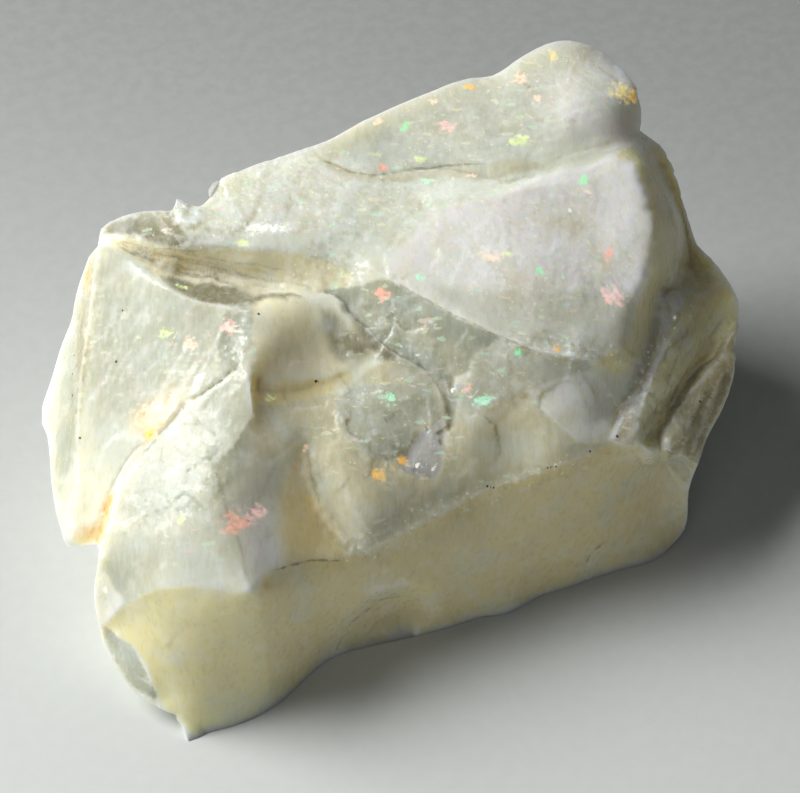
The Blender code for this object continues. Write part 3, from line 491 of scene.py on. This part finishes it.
# Small flat chips: size, lean, shift of the noise.
BROAD_CHIPS = (3.2, 1.0, (6, 2, 9))
FINE_CHIPS = ((1.5, 0.05, (3, 6, -3)), (0.65, 0.035, (8, 16, -8)))
CHIP_SEED = 53.7
GRAIN_SIZE, GRAIN_HEIGHT = 0.9, 0.012
OCTAVES = 3
STREAK_STRETCH = 10
STREAK_SHIFT = 7.3
RIDGE_ROUNDS = 3
RIDGE_STAND = 0.06
# Reach of a dark line to each side, and where it starts to fade.
DARK_REACH, DARK_FADE = 0.7, 0.45


def smoothstep(low, high, value):
    """0 below low, 1 above high, and a smooth rise between them."""
    share = np.clip((value - low) / (high - low), 0, 1)
    return share * share * (3 - 2 * share)


def crease_sharp_edges(mesh):
    """Creases each edge by how far its two faces turn away from each other."""
    normals = {}
    for face in mesh.polygons:
        for key in face.edge_keys:
            normals.setdefault(key, []).append(face.normal)
    creases = mesh.attributes.new("crease_edge", "FLOAT", "EDGE")
    for edge in mesh.edges:
        beside = normals[edge.key]
        angle = beside[0].angle(beside[1]) if len(beside) == 2 else math.pi
        share = (angle - SOFT_ANGLE) / (CREASE_ANGLE - SOFT_ANGLE)
        creases.data[edge.index].value = min(max(share, 0.0), 1.0)


def copy_of_stone():
    """The solid's mesh with its triangles joined, creased where it is sharp and divided finely."""
    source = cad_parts["opal"].data
    points = np.empty(len(source.vertices) * 3)
    source.vertices.foreach_get("co", points)
    places, index = np.unique(np.round(points.reshape(-1, 3), 7), axis=0, return_inverse=True)
    source.calc_loop_triangles()
    corners = np.empty(len(source.loop_triangles) * 3, np.int32)
    source.loop_triangles.foreach_get("vertices", corners)
    coarse = bpy.data.meshes.new("opal_coarse")
    coarse.from_pydata(places.tolist(), [], index.reshape(-1)[corners].reshape(-1, 3).tolist())
    crease_sharp_edges(coarse)
    stone = bpy.data.objects.new("opal_surface", coarse)
    bpy.context.scene.collection.objects.link(stone)
    divide = stone.modifiers.new("divide", "SUBSURF")
    divide.levels = SUBDIVISIONS
    divide.render_levels = SUBDIVISIONS
    bpy.context.view_layer.update()
    fine = bpy.data.meshes.new_from_object(stone.evaluated_get(bpy.context.evaluated_depsgraph_get()))
    stone.modifiers.clear()
    stone.data = fine
    bpy.data.meshes.remove(coarse)
    return stone


class Surface:
    """The fine mesh as arrays: where each point is, where the eye sees it on the sheet, and how it faces.

    near is 1 where the eye sees the surface well, far is 1 well behind the outline, free is 0 at the base.
    """

    def __init__(self, stone):
        self.mesh = stone.data
        count = len(self.mesh.vertices)
        self.place = np.empty(count * 3)
        self.mesh.vertices.foreach_get("co", self.place)
        self.place = self.place.reshape(-1, 3)
        self.ends = np.empty(len(self.mesh.edges) * 2, np.int32)
        self.mesh.edges.foreach_get("vertices", self.ends)
        self.ends = self.ends.reshape(-1, 2)
        self.low, self.high = self.place.min(0), self.place.max(0)
        self.free = smoothstep(FLAT_HEIGHT, FREE_HEIGHT, self.place[:, 2])
        ray = self.place - EYE
        seen = EYE - ray * (EYE_DISTANCE / (ray @ TOWARDS_EYE))[:, None] - SHEET_MIDDLE
        self.across, self.up = seen @ RIGHT / MM, seen @ UP / MM
        self.read_normals()
        facing = -(self.normal * ray).sum(1) / np.linalg.norm(ray, axis=1)
        self.near = smoothstep(0.0, FACING_FULL, facing)
        seen_nearby = self.spread((facing > 0).astype(float), FAR_ROUNDS)
        self.far = 1 - smoothstep(FAR_START, FACING_FULL, seen_nearby)
        self.points = [Vector(place) for place in (self.place / MM).tolist()]
        self.shake_sheet(SHAKE_SIZE, SHAKE_REACH)

    def read_normals(self):
        normal = np.empty(len(self.place) * 3, np.float32)
        self.mesh.vertex_normals.foreach_get("vector", normal)
        self.normal = normal.reshape(-1, 3).astype(float)

    def shake_sheet(self, size, amount):
        """Shakes the places on the sheet by a smooth noise, so that no line across them is straight."""
        shake = np.array([noise.noise_vector(point / size) for point in self.points])
        self.across = self.across + amount * shake[:, 0]
        self.up = self.up + amount * shake[:, 1]

    def raise_by(self, height):
        """Moves each point out along its normal by height, in mm."""
        self.place += self.normal * (height * MM * self.free)[:, None]

    def soften(self, weight, rounds):
        """Moves the chosen points towards the middle of their neighbours, which rounds an edge."""
        for _ in range(rounds):
            pull = (self.middle_of_neighbours() - self.place) * (SOFTEN_SHARE * weight * self.free)[:, None]
            self.place += pull
        self.store()
        self.read_normals()

    def spread(self, values, rounds):
        """Lets values run into their neighbours."""
        count = len(values)
        one, other = self.ends[:, 0], self.ends[:, 1]
        number = np.bincount(self.ends.ravel(), minlength=count)
        for _ in range(rounds):
            total = np.bincount(one, values[other], count) + np.bincount(other, values[one], count)
            values = total / number
        return values

    def middle_of_neighbours(self):
        return np.column_stack([self.spread(self.place[:, k], 1) for k in range(3)])

    def store(self):
        self.place = np.clip(self.place, self.low, self.high)
        self.mesh.vertices.foreach_set("co", self.place.astype(np.float32).ravel())
        self.mesh.update()

    def keep(self, name, values, kind="FLOAT", slot="value"):
        """Keeps a value for each point where the material can read it."""
        layer = self.mesh.attributes.new(name, kind, "POINT")
        layer.data.foreach_set(slot, values.astype(np.float32).ravel())

    def keep_vector(self, name, values):
        self.keep(name, values, "FLOAT_VECTOR", "vector")

    def keep_colour(self, name, values):
        self.keep(name, np.column_stack((values, np.ones(len(values)))), "FLOAT_COLOR", "color")

    def patch(self, middle, radii, way, soft=PATCH_RIM):
        """1 inside an ellipse on the near side and 0 outside it, with a soft rim."""
        turn = math.radians(way)
        across, up = self.across - middle[0], self.up - middle[1]
        along = (across * math.cos(turn) + up * math.sin(turn)) / radii[0]
        aside = (up * math.cos(turn) - across * math.sin(turn)) / radii[1]
        return (1 - smoothstep(1 - soft, 1 + soft, np.hypot(along, aside))) * self.near

    def inside(self, points, soft):
        """1 inside an outline on the near side and 0 outside it, with a rim soft mm wide."""
        line = smooth_line((*points, points[0]))
        chosen = self.within(line.min(0) - soft, line.max(0) + soft)
        here = np.column_stack((self.across[chosen], self.up[chosen]))
        best = np.full(len(chosen), np.inf)
        odd = np.zeros(len(chosen), bool)
        for start, end in zip(line[:-1], line[1:]):
            step = end - start
            along = np.clip((here - start) @ step / (step @ step), 0, 1)
            best = np.minimum(best, np.hypot(*(here - start - along[:, None] * step).T))
            if start[1] != end[1]:
                passes = (here[:, 1] < start[1]) != (here[:, 1] < end[1])
                crossing = start[0] + (here[:, 1] - start[1]) * step[0] / step[1]
                odd ^= passes & (here[:, 0] < crossing)
        weight = np.zeros(len(self.place))
        weight[chosen] = smoothstep(-soft / 2, soft / 2, np.where(odd, best, -best)) * self.near[chosen]
        return weight

    def within(self, low, high):
        """Which near points lie in a box on the sheet."""
        here = (self.across > low[0]) & (self.across < high[0]) & (self.up > low[1]) & (self.up < high[1])
        return np.flatnonzero(here & (self.near > 0))

    def beside(self, points, reach):
        """The near points within reach of a line, how far left of it they are, and the fade at its ends."""
        line = smooth_line(points)
        chosen = self.within(line.min(0) - reach, line.max(0) + reach)
        here = np.column_stack((self.across[chosen], self.up[chosen]))
        best = np.full(len(chosen), np.inf)
        left = np.zeros(len(chosen))
        passed = np.zeros(len(chosen))
        run = 0.0
        for start, end in zip(line[:-1], line[1:]):
            step = end - start
            length = math.hypot(*step)
            way = step / length
            along = (here - start) @ way
            off = here - start - np.clip(along, 0, length)[:, None] * way
            distance = np.hypot(off[:, 0], off[:, 1])
            side = way[0] * (here[:, 1] - start[1]) - way[1] * (here[:, 0] - start[0])
            nearer = distance < best
            best[nearer] = distance[nearer]
            left[nearer] = np.copysign(distance, side)[nearer]
            passed[nearer] = (run + np.clip(along, 0, length))[nearer]
            run += length
        within = best < reach
        fade = smoothstep(0, min(END_FADE, run / 3), np.minimum(passed, run - passed))
        return chosen[within], left[within], fade[within]


def smooth_line(points):
    """Points LINE_SPACING apart on the smooth curve through the given ones."""
    points = np.array((points[0], *points, points[-1]), float)
    samples = []
    for before, start, end, after in zip(points, points[1:], points[2:], points[3:]):
        count = max(1, round(math.dist(start, end) / LINE_SPACING))
        for share in np.arange(count) / count:
            bend = share * (1 - share) * ((1 - share) * (end - before) - share * (after - start)) / 2
            samples.append(start + share * share * (3 - 2 * share) * (end - start) + bend)
    samples.append(points[-1])
    return np.array(samples)


# ---- relief
def chips(surface, size, tilt, shift):
    """Heights of small flat chips, each leaning its own way, with a step between neighbours."""
    heights = np.empty(len(surface.points))
    for index, point in enumerate(surface.points):
        here = point / size + Vector(shift)
        seed = noise.voronoi(here)[1][0]
        lean = noise.cell_vector(seed * CHIP_SEED) - Vector((0.5, 0.5, 0.5))
        heights[index] = lean.dot(here - seed)
    return heights * size * tilt


def scars(surface, size, depth, shift):
    """Depths of shallow bowls that meet in sharp rims, as where stone has flaked."""
    nearest = np.array([noise.voronoi(point / size + Vector(shift))[0][0] for point in surface.points])
    return -depth * np.clip(1 - BOWL_FALL * nearest**2, 0, None)


def fractal(places, fall, step):
    """A noise at each place, whose octaves grow weaker by fall and finer by step."""
    return np.array([noise.fractal(place, fall, step, OCTAVES) for place in places])


def streaks(surface, way, gap, shift):
    """A noise drawn out along a way on the sheet."""
    turn = math.radians(way)
    along = (surface.across * math.cos(turn) + surface.up * math.sin(turn)) / (STREAK_STRETCH * gap)
    aside = (surface.up * math.cos(turn) - surface.across * math.sin(turn)) / gap
    return fractal([Vector((a, b, shift)) for a, b in zip(along, aside)], 0.8, 2.2)


def press_line(surface, kind, height, width, points):
    """Presses one drawn groove, ridge, ledge or fold into the surface."""
    fall = LEDGE_FALL * width
    chosen, left, fade = surface.beside(points, fall * 2 if kind == LEDGE else LINE_REACH * width)
    if kind == LEDGE:
        step = smoothstep(-width / 2, width / 2, left) * np.exp(-np.clip(left, 0, None) / fall)
        profile = step - np.exp(-np.abs(left) / fall) / 2
    elif kind == FOLD:
        profile = np.clip(1 - np.abs(left) / (LINE_REACH * width), 0, 1) ** 2
    else:
        profile = np.exp(-((left / width) ** 2)) * (1 if kind == RIDGE else -1)
    lift = np.zeros(len(surface.points))
    lift[chosen] = height * profile * fade * surface.near[chosen]
    surface.raise_by(lift)


def shape(surface):
    """Gives the surface its relief: fills, round edges, scars, chips, streaks, faces and drawn lines."""
    far = surface.far
    for middle, radii, way, height in FILLS:
        surface.raise_by(height * surface.patch(middle, radii, way, FILL_RIM))
    for middle, radii, way, rounds in SOFT_FIELDS:
        surface.soften(surface.patch(middle, radii, way), rounds)
    sugar = np.zeros(len(surface.points))
    for _, middle, radii, way, share in SUGAR_FIELDS:
        sugar = np.maximum(sugar, share * surface.patch(middle, radii, way))
    for scar in FAR_SCARS:
        surface.raise_by(far * scars(surface, *scar))
    surface.raise_by(surface.near * (0.3 + 0.5 * sugar) * scars(surface, *NEAR_SCARS))
    lean = 0.02 + 0.08 * far
    for middle, radii, way, share in FACET_FIELDS:
        lean = np.maximum(lean, share * surface.patch(middle, radii, way))
    surface.raise_by(lean * chips(surface, *BROAD_CHIPS))
    for chip in FINE_CHIPS:
        surface.raise_by((0.10 + 0.6 * far + sugar) * chips(surface, *chip))
    grain = fractal([point / GRAIN_SIZE for point in surface.points], 0.9, 2.1)
    surface.raise_by(GRAIN_HEIGHT * grain * (0.4 + 0.5 * sugar + far))
    for index, (_, middle, radii, way, height, gap) in enumerate(STREAK_FIELDS):
        weight = surface.patch(middle, radii, way)
        surface.raise_by(height * weight * streaks(surface, way, gap, index * STREAK_SHIFT))
    surface.faces = [surface.inside(points, soft) for _, _, _, soft, _, points in FACES]
    for weight, (_, _, _, _, height, _) in zip(surface.faces, FACES):
        if height:
            surface.raise_by(height * weight)
    for _, kind, height, width, points in RELIEF_LINES:
        press_line(surface, kind, height, width, points)
    surface.store()
    surface.keep("sugar", np.clip(sugar + 0.5 * far, 0, 1))


def mark_ridges(surface):
    """Keeps how much each point stands out from its neighbours, for the worn pale ridges and for the
    painted shade in creases.
    """
    surface.read_normals()
    kept = surface.place.copy()
    for _ in range(RIDGE_ROUNDS):
        surface.place = surface.middle_of_neighbours()
    stand = ((kept - surface.place) * surface.normal).sum(1) / MM
    surface.place = kept
    surface.keep("ridge", np.clip(stand / RIDGE_STAND, -1, 1))


def paint(surface):
    """Keeps the stone's colour by place with its painted light and shade, its iron stain, and its dark
    lines of cracks and painted shade.
    """
    tint_and_painted_light = np.tile(np.array(MILK), (len(surface.points), 1))
    for _, middle, radii, way, colour, share in TINTS:
        weight = share * surface.patch(middle, radii, way, TINT_RIM)
        tint_and_painted_light += (np.array(colour) - tint_and_painted_light) * weight[:, None]
    for weight, (_, colour, share, _, _, _) in zip(surface.faces, FACES):
        tint_and_painted_light += (np.array(colour) - tint_and_painted_light) * (share * weight)[:, None]
    for size, low, high, share, colour, shift in CLOUDS:
        swell = fractal([point / size + Vector(shift) for point in surface.points], 1.0, 2.0)
        weight = share * smoothstep(low, high, swell)
        tint_and_painted_light += (np.array(colour) - tint_and_painted_light) * weight[:, None]
    surface.keep_colour("tint_and_painted_light", tint_and_painted_light)
    stain = np.zeros(len(tint_and_painted_light))
    for share, reach, points in STAIN_LINES:
        chosen, left, fade = surface.beside(points, reach * 2)
        drop = share * np.exp(-((left / reach) ** 2) * 2) * (0.4 + 0.6 * fade)
        stain[chosen] = np.maximum(stain[chosen], drop)
    surface.keep("stain", stain * surface.near)
    aside = np.full(len(tint_and_painted_light), 1.0)
    dark = np.zeros(len(tint_and_painted_light))
    for share, points in DARK_LINES:
        chosen, left, fade = surface.beside(points, DARK_REACH)
        nearer = np.abs(left) < np.abs(aside[chosen])
        aside[chosen[nearer]] = left[nearer]
        shade = share * fade * (1 - smoothstep(DARK_FADE, DARK_REACH, np.abs(left)))
        dark[chosen[nearer]] = shade[nearer]
    surface.keep("crack_aside", aside)
    surface.keep("crack_and_shade_share", dark)


def place_seen(tree, spot):
    """Where the eye's line through a place on the sheet meets the stone."""
    aim = SHEET_MIDDLE + (spot[0] * RIGHT + spot[1] * UP) * MM
    hit = tree.ray_cast(Vector(EYE), Vector(aim - EYE).normalized())[0]
    return np.array(hit if hit is not None else aim)


def mark_flecks(surface, tree):
    """Keeps what each point has to know of the fleck and of the speck nearest to it."""
    count = len(surface.place)
    best = np.full(count, np.inf)
    middles, pulls = np.zeros((count, 3)), np.zeros((count, 3))
    colours, radii = np.ones((count, 3)), np.ones(count)
    for spot, radius, stretch, way, colour in FLECKS_AND_GLINTS:
        middle = place_seen(tree, spot)
        turn = math.radians(way)
        along = math.cos(turn) * RIGHT + math.sin(turn) * UP
        radius *= MM / math.sqrt(stretch)
        share = np.linalg.norm(surface.place - middle, axis=1) / radius
        nearer = share < best
        best[nearer] = share[nearer]
        middles[nearer] = middle
        pulls[nearer] = along * math.sqrt(1 - 1 / stretch**2)
        colours[nearer] = colour
        radii[nearer] = radius
    surface.keep_vector("fleck_middle", middles)
    surface.keep_vector("fleck_pull", pulls)
    surface.keep_colour("fleck_colour", colours)
    surface.keep("fleck_radius", radii)
    best[:] = np.inf
    for spot, radius in SPECKS:
        middle = place_seen(tree, spot)
        gap = np.linalg.norm(surface.place - middle, axis=1)
        nearer = gap < best
        best[nearer] = gap[nearer]
        middles[nearer] = middle
        radii[nearer] = radius * MM
    surface.keep_vector("speck_middle", middles)
    surface.keep("speck_radius", radii)


# ---- materials
class Nodes:
    """Makes and links the nodes of one material."""

    def __init__(self, name):
        self.material = bpy.data.materials.new(name)
        self.material.use_nodes = True
        self.tree = self.material.node_tree
        self.shader = self.tree.nodes["Principled BSDF"]

    def node(self, kind, settings=None, **inputs):
        made = self.tree.nodes.new(kind)
        for name, value in (settings or {}).items():
            setattr(made, name, value)
        for name, value in inputs.items():
            self.put(made, name.replace("_", " ") if not name.startswith("in") else int(name[2:]), value)
        return made

    def put(self, node, name, value):
        if isinstance(value, bpy.types.NodeSocket):
            self.tree.links.new(value, node.inputs[name])
        else:
            node.inputs[name].default_value = value

    def math(self, operation, a, b=0.0):
        return self.node("ShaderNodeMath", {"operation": operation}, in0=a, in1=b).outputs[0]

    def vector(self, operation, a, b=(0, 0, 0)):
        made = self.node("ShaderNodeVectorMath", {"operation": operation}, in0=a, in1=b)
        return made.outputs["Value" if operation in ("DOT_PRODUCT", "DISTANCE") else "Vector"]

    def mix(self, share, a, b, blend="MIX"):
        made = self.node("ShaderNodeMix", {"data_type": "RGBA", "blend_type": blend})
        for index, value in ((0, share), (6, a), (7, b)):
            self.put(made, index, value)
        return made.outputs[2]

    def ramp(self, value, low, high, start=0.0, end=1.0):
        smooth = {"interpolation_type": "SMOOTHSTEP"}
        made = self.node("ShaderNodeMapRange", smooth, in0=value, in1=low, in2=high, in3=start, in4=end)
        return made.outputs[0]

    def noise(self, place, size, detail=3.0, rough=0.55):
        """A noise of about 0 to 1 whose swells are size mm apart."""
        inputs = {"Vector": place, "Scale": 1 / (size * MM), "Detail": detail, "Roughness": rough}
        return self.node("ShaderNodeTexNoise", **inputs).outputs[0]

    def cells(self, place, size):
        """Cells about size mm across, each with a colour drawn for it."""
        return self.node("ShaderNodeTexVoronoi", Vector=place, Scale=1 / (size * MM))

    def scaled(self, vector, share):
        made = self.node("ShaderNodeVectorMath", {"operation": "SCALE"}, in0=vector, Scale=share)
        return made.outputs[0]

    def attribute(self, name, output="Fac"):
        return self.node("ShaderNodeAttribute", {"attribute_name": name}).outputs[output]


def opal_material():
    """Milky stone that light spreads in: tints with painted light and shade, mottle, worn ridges, painted
    shade in creases, stain, flecks that glow and painted glints, dark lines of cracks and painted shade,
    and grain.
    """
    nodes = Nodes("milky_opal")
    place = nodes.node("ShaderNodeTexCoord").outputs["Object"]
    sugar = nodes.attribute("sugar")
    ridge = nodes.attribute("ridge")
    colour = nodes.attribute("tint_and_painted_light", "Color")

    upward = nodes.vector("DOT_PRODUCT", place, tuple(UP))
    drawn = nodes.scaled(tuple(UP), nodes.math("MULTIPLY", upward, -MOTTLE_STRETCH))
    mottle = nodes.noise(nodes.vector("ADD", place, drawn), MOTTLE_SIZE, 5.0, 0.65)
    colour = nodes.mix(nodes.ramp(mottle, 0.45, 0.75, 0.0, 0.22), colour, PALE_MOTTLE)
    colour = nodes.mix(nodes.ramp(mottle, 0.48, 0.25, 0.0, 0.20), colour, DARK_MOTTLE)
    colour = nodes.mix(nodes.math("MULTIPLY", nodes.ramp(ridge, 0.2, 0.9), 0.28), colour, WORN_RIDGE)
    # Painted shade in creases: darker where the surface sinks below its neighbours.
    colour = nodes.mix(nodes.math("MULTIPLY", nodes.ramp(ridge, -0.2, -0.9), 0.25), colour, PAINTED_CREASE_SHADE)
    colour = add_stain(nodes, place, colour)
    colour = add_flecks(nodes, place, sugar, colour)
    colour = add_marks(nodes, place, colour)
    nodes.put(nodes.shader, "Base Color", colour)

    grain = nodes.cells(place, GRAIN_CELL)
    tilt = nodes.vector("SUBTRACT", grain.outputs["Color"], (0.5, 0.5, 0.5))
    lean = nodes.scaled(tilt, nodes.ramp(sugar, 0.1, 1.0, 0.03, 0.30))
    normal = nodes.node("ShaderNodeNewGeometry").outputs["Normal"]
    leaning = nodes.vector("NORMALIZE", nodes.vector("ADD", normal, lean))
    bump = nodes.node("ShaderNodeBump", None, Strength=0.4, Distance=0.00004, Height=mottle, Normal=leaning)
    nodes.put(nodes.shader, "Normal", bump.outputs[0])

    nodes.put(nodes.shader, "Roughness", nodes.ramp(mottle, 0.3, 0.7, 0.22, 0.42))
    for name, value in STONE_SHADER:
        nodes.put(nodes.shader, name, value)
    return nodes.material


def add_stain(nodes, place, colour):
    """Iron stain along the crack, the left rim and the flake's tip."""
    swell = nodes.math("SUBTRACT", nodes.noise(place, 0.9, 3.0), 0.5)
    ragged = nodes.math("ADD", nodes.attribute("stain"), nodes.math("MULTIPLY", swell, 0.7))
    colour = nodes.mix(nodes.ramp(ragged, 0.25, 0.95, 0.0, 0.55), colour, STAIN_RIM)
    return nodes.mix(nodes.ramp(ragged, 0.75, 1.10, 0.0, 0.9), colour, STAIN_COLOUR)


def add_marks(nodes, place, colour):
    """Dark lines, partly cracks and partly painted shade along steps, and specks of dirt."""
    wander = nodes.noise(place, 0.6, 2.0)
    aside = nodes.math("ABSOLUTE", nodes.attribute("crack_aside"))
    width = nodes.ramp(wander, 0.35, 0.70, 0.0, 0.14)
    line = nodes.ramp(nodes.math("SUBTRACT", aside, width), 0.06, -0.08)
    # Dark lines: the stone's cracks and painted shade along steps and grooves.
    colour = nodes.mix(nodes.math("MULTIPLY", line, nodes.attribute("crack_and_shade_share")), colour, CRACK_AND_SHADE_COLOUR)
    gap = nodes.vector("DISTANCE", place, nodes.attribute("speck_middle", "Vector"))
    gap = nodes.math("DIVIDE", gap, nodes.attribute("speck_radius"))
    gap = nodes.math("ADD", gap, nodes.ramp(nodes.noise(place, 0.12, 1.0), 0.3, 0.7, -0.4, 0.4))
    return nodes.mix(nodes.ramp(gap, 1.0, 0.6), colour, SPECK_COLOUR)


def add_flecks(nodes, place, sugar, colour):
    """Play of colour: great many-sided flecks where they lie and fine ones strewn at random. The great
    flecks glow as painted light, the white ones among them are painted glints, and random white sparkles
    are painted highlights.
    """
    drawn = nodes.vector("DOT_PRODUCT", place, tuple(RIGHT))
    drawn_out = nodes.vector("SUBTRACT", place, nodes.scaled(tuple(0.6 * RIGHT), drawn))
    dust = nodes.cells(drawn_out, DUST_CELL)
    draw = nodes.node("ShaderNodeSeparateColor", None, Color=dust.outputs["Color"])
    hue = nodes.math("MULTIPLY", draw.outputs["Green"], 0.42)
    hue = nodes.node("ShaderNodeCombineColor", {"mode": "HSV"}, Red=hue, Green=0.26, Blue=1.0)
    strewn = nodes.math("GREATER_THAN", draw.outputs["Red"], 0.955)
    strewn = nodes.math("MULTIPLY", strewn, nodes.ramp(sugar, 0.0, 0.6, 0.10, 0.55))
    colour = nodes.mix(strewn, colour, hue.outputs[0])

    seeds = nodes.cells(place, FLECK_CELL)
    offset = nodes.vector("SUBTRACT", seeds.outputs["Position"], nodes.attribute("fleck_middle", "Vector"))
    drawn = nodes.vector("DOT_PRODUCT", offset, nodes.attribute("fleck_pull", "Vector"))
    length = nodes.vector("DOT_PRODUCT", offset, offset)
    square = nodes.math("SUBTRACT", length, nodes.math("MULTIPLY", drawn, drawn))
    reach = nodes.math("DIVIDE", nodes.math("SQRT", square), nodes.attribute("fleck_radius"))
    bits = nodes.node("ShaderNodeSeparateColor", None, Color=seeds.outputs["Color"])
    reach = nodes.math("ADD", reach, nodes.ramp(nodes.noise(place, 0.45, 2.0), 0.3, 0.7, -0.45, 0.45))
    strength = nodes.ramp(bits.outputs["Red"], 0.0, 0.8, 0.30, 1.0)
    share = nodes.math("MULTIPLY", nodes.ramp(reach, 1.15, 0.35), strength)
    hue = nodes.attribute("fleck_colour", "Color")
    # Painted highlights: tiny random white sparkles that glow.
    painted_sparkle = nodes.math("GREATER_THAN", bits.outputs["Green"], 0.985)
    painted_sparkle = nodes.math("MULTIPLY", painted_sparkle, nodes.ramp(sugar, 0.1, 0.6, 0.0, 0.35))
    # Painted glow: the flecks, glints and sparkles shine by emission.
    painted_glow = nodes.mix(painted_sparkle, nodes.mix(share, NO_GLOW, hue), PAINTED_SPARKLE)
    nodes.put(nodes.shader, "Emission Color", painted_glow)
    return nodes.mix(nodes.math("MULTIPLY", share, 0.85), colour, hue)


def floor_material():
    """Pale board with a painted falloff of the window's light: darker away from the window."""
    nodes = Nodes("pale_board")
    place = nodes.node("ShaderNodeTexCoord").outputs["Object"]
    grain = nodes.noise(place, 1.2, 4.0)
    # Painted falloff of the window's light: the board darkens away from the window.
    depth = nodes.vector("DOT_PRODUCT", place, tuple(PAINTED_FALLOFF_WAY))
    shade = nodes.ramp(depth, PAINTED_FALLOFF_START, PAINTED_FALLOFF_END)
    colour = nodes.mix(shade, FLOOR_NEAR, FLOOR_PAINTED_SHADE)
    colour = nodes.mix(nodes.ramp(grain, 0.3, 0.7, 0.0, 0.04), colour, FLOOR_GRAIN)
    nodes.put(nodes.shader, "Base Color", colour)
    nodes.put(nodes.shader, "Roughness", FLOOR_ROUGHNESS)
    bump = nodes.node("ShaderNodeBump", None, Strength=0.15, Distance=0.00005, Height=grain)
    nodes.put(nodes.shader, "Normal", bump.outputs[0])
    return nodes.material


# ---- scene
def build_stone():
    stone = copy_of_stone()
    surface = Surface(stone)
    shape(surface)
    mark_ridges(surface)
    paint(surface)
    places = [Vector(place) for place in surface.place.tolist()]
    faces = [tuple(face.vertices) for face in stone.data.polygons]
    mark_flecks(surface, BVHTree.FromPolygons(places, faces))
    stone.data.materials.clear()
    stone.data.materials.append(opal_material())
    stone.data.shade_smooth()
    stone.data.set_sharp_from_angle(angle=SHADING_ANGLE)
    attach(stone, "root")
    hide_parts("opal")


def build_floor():
    bpy.ops.mesh.primitive_plane_add(size=FLOOR_SIZE, location=(0, 0, 0))
    floor = bpy.context.object
    floor.name = "floor"
    floor.data.materials.append(floor_material())


def add_camera():
    camera = bpy.data.cameras.new("camera")
    camera.sensor_width = SENSOR_WIDTH
    camera.lens = SENSOR_WIDTH * EYE_DISTANCE / PICTURE_WIDTH
    camera.clip_start = NEAREST_SEEN
    holder = bpy.data.objects.new("camera", camera)
    holder.location = EYE
    holder.rotation_euler = Vector(-TOWARDS_EYE).to_track_quat("-Z", "Y").to_euler()
    bpy.context.scene.collection.objects.link(holder)
    bpy.context.scene.camera = holder


def add_light(name, place, size, power, colour):
    light = bpy.data.lights.new(name, "AREA")
    light.size = size
    light.energy = power
    light.color = colour
    holder = bpy.data.objects.new(name, light)
    holder.location = place
    holder.rotation_euler = (Vector(LIGHT_AIM) - Vector(place)).to_track_quat("-Z", "Y").to_euler()
    bpy.context.scene.collection.objects.link(holder)


def add_world():
    world = bpy.data.worlds.new("studio")
    world.use_nodes = True
    background = world.node_tree.nodes["Background"]
    background.inputs["Color"].default_value = WORLD_COLOUR
    background.inputs["Strength"].default_value = WORLD_STRENGTH
    bpy.context.scene.world = world


add_camera()
add_world()
for light in LIGHTS:
    add_light(*light)
build_floor()
build_stone()
bpy.context.scene.view_settings.view_transform = "Standard"
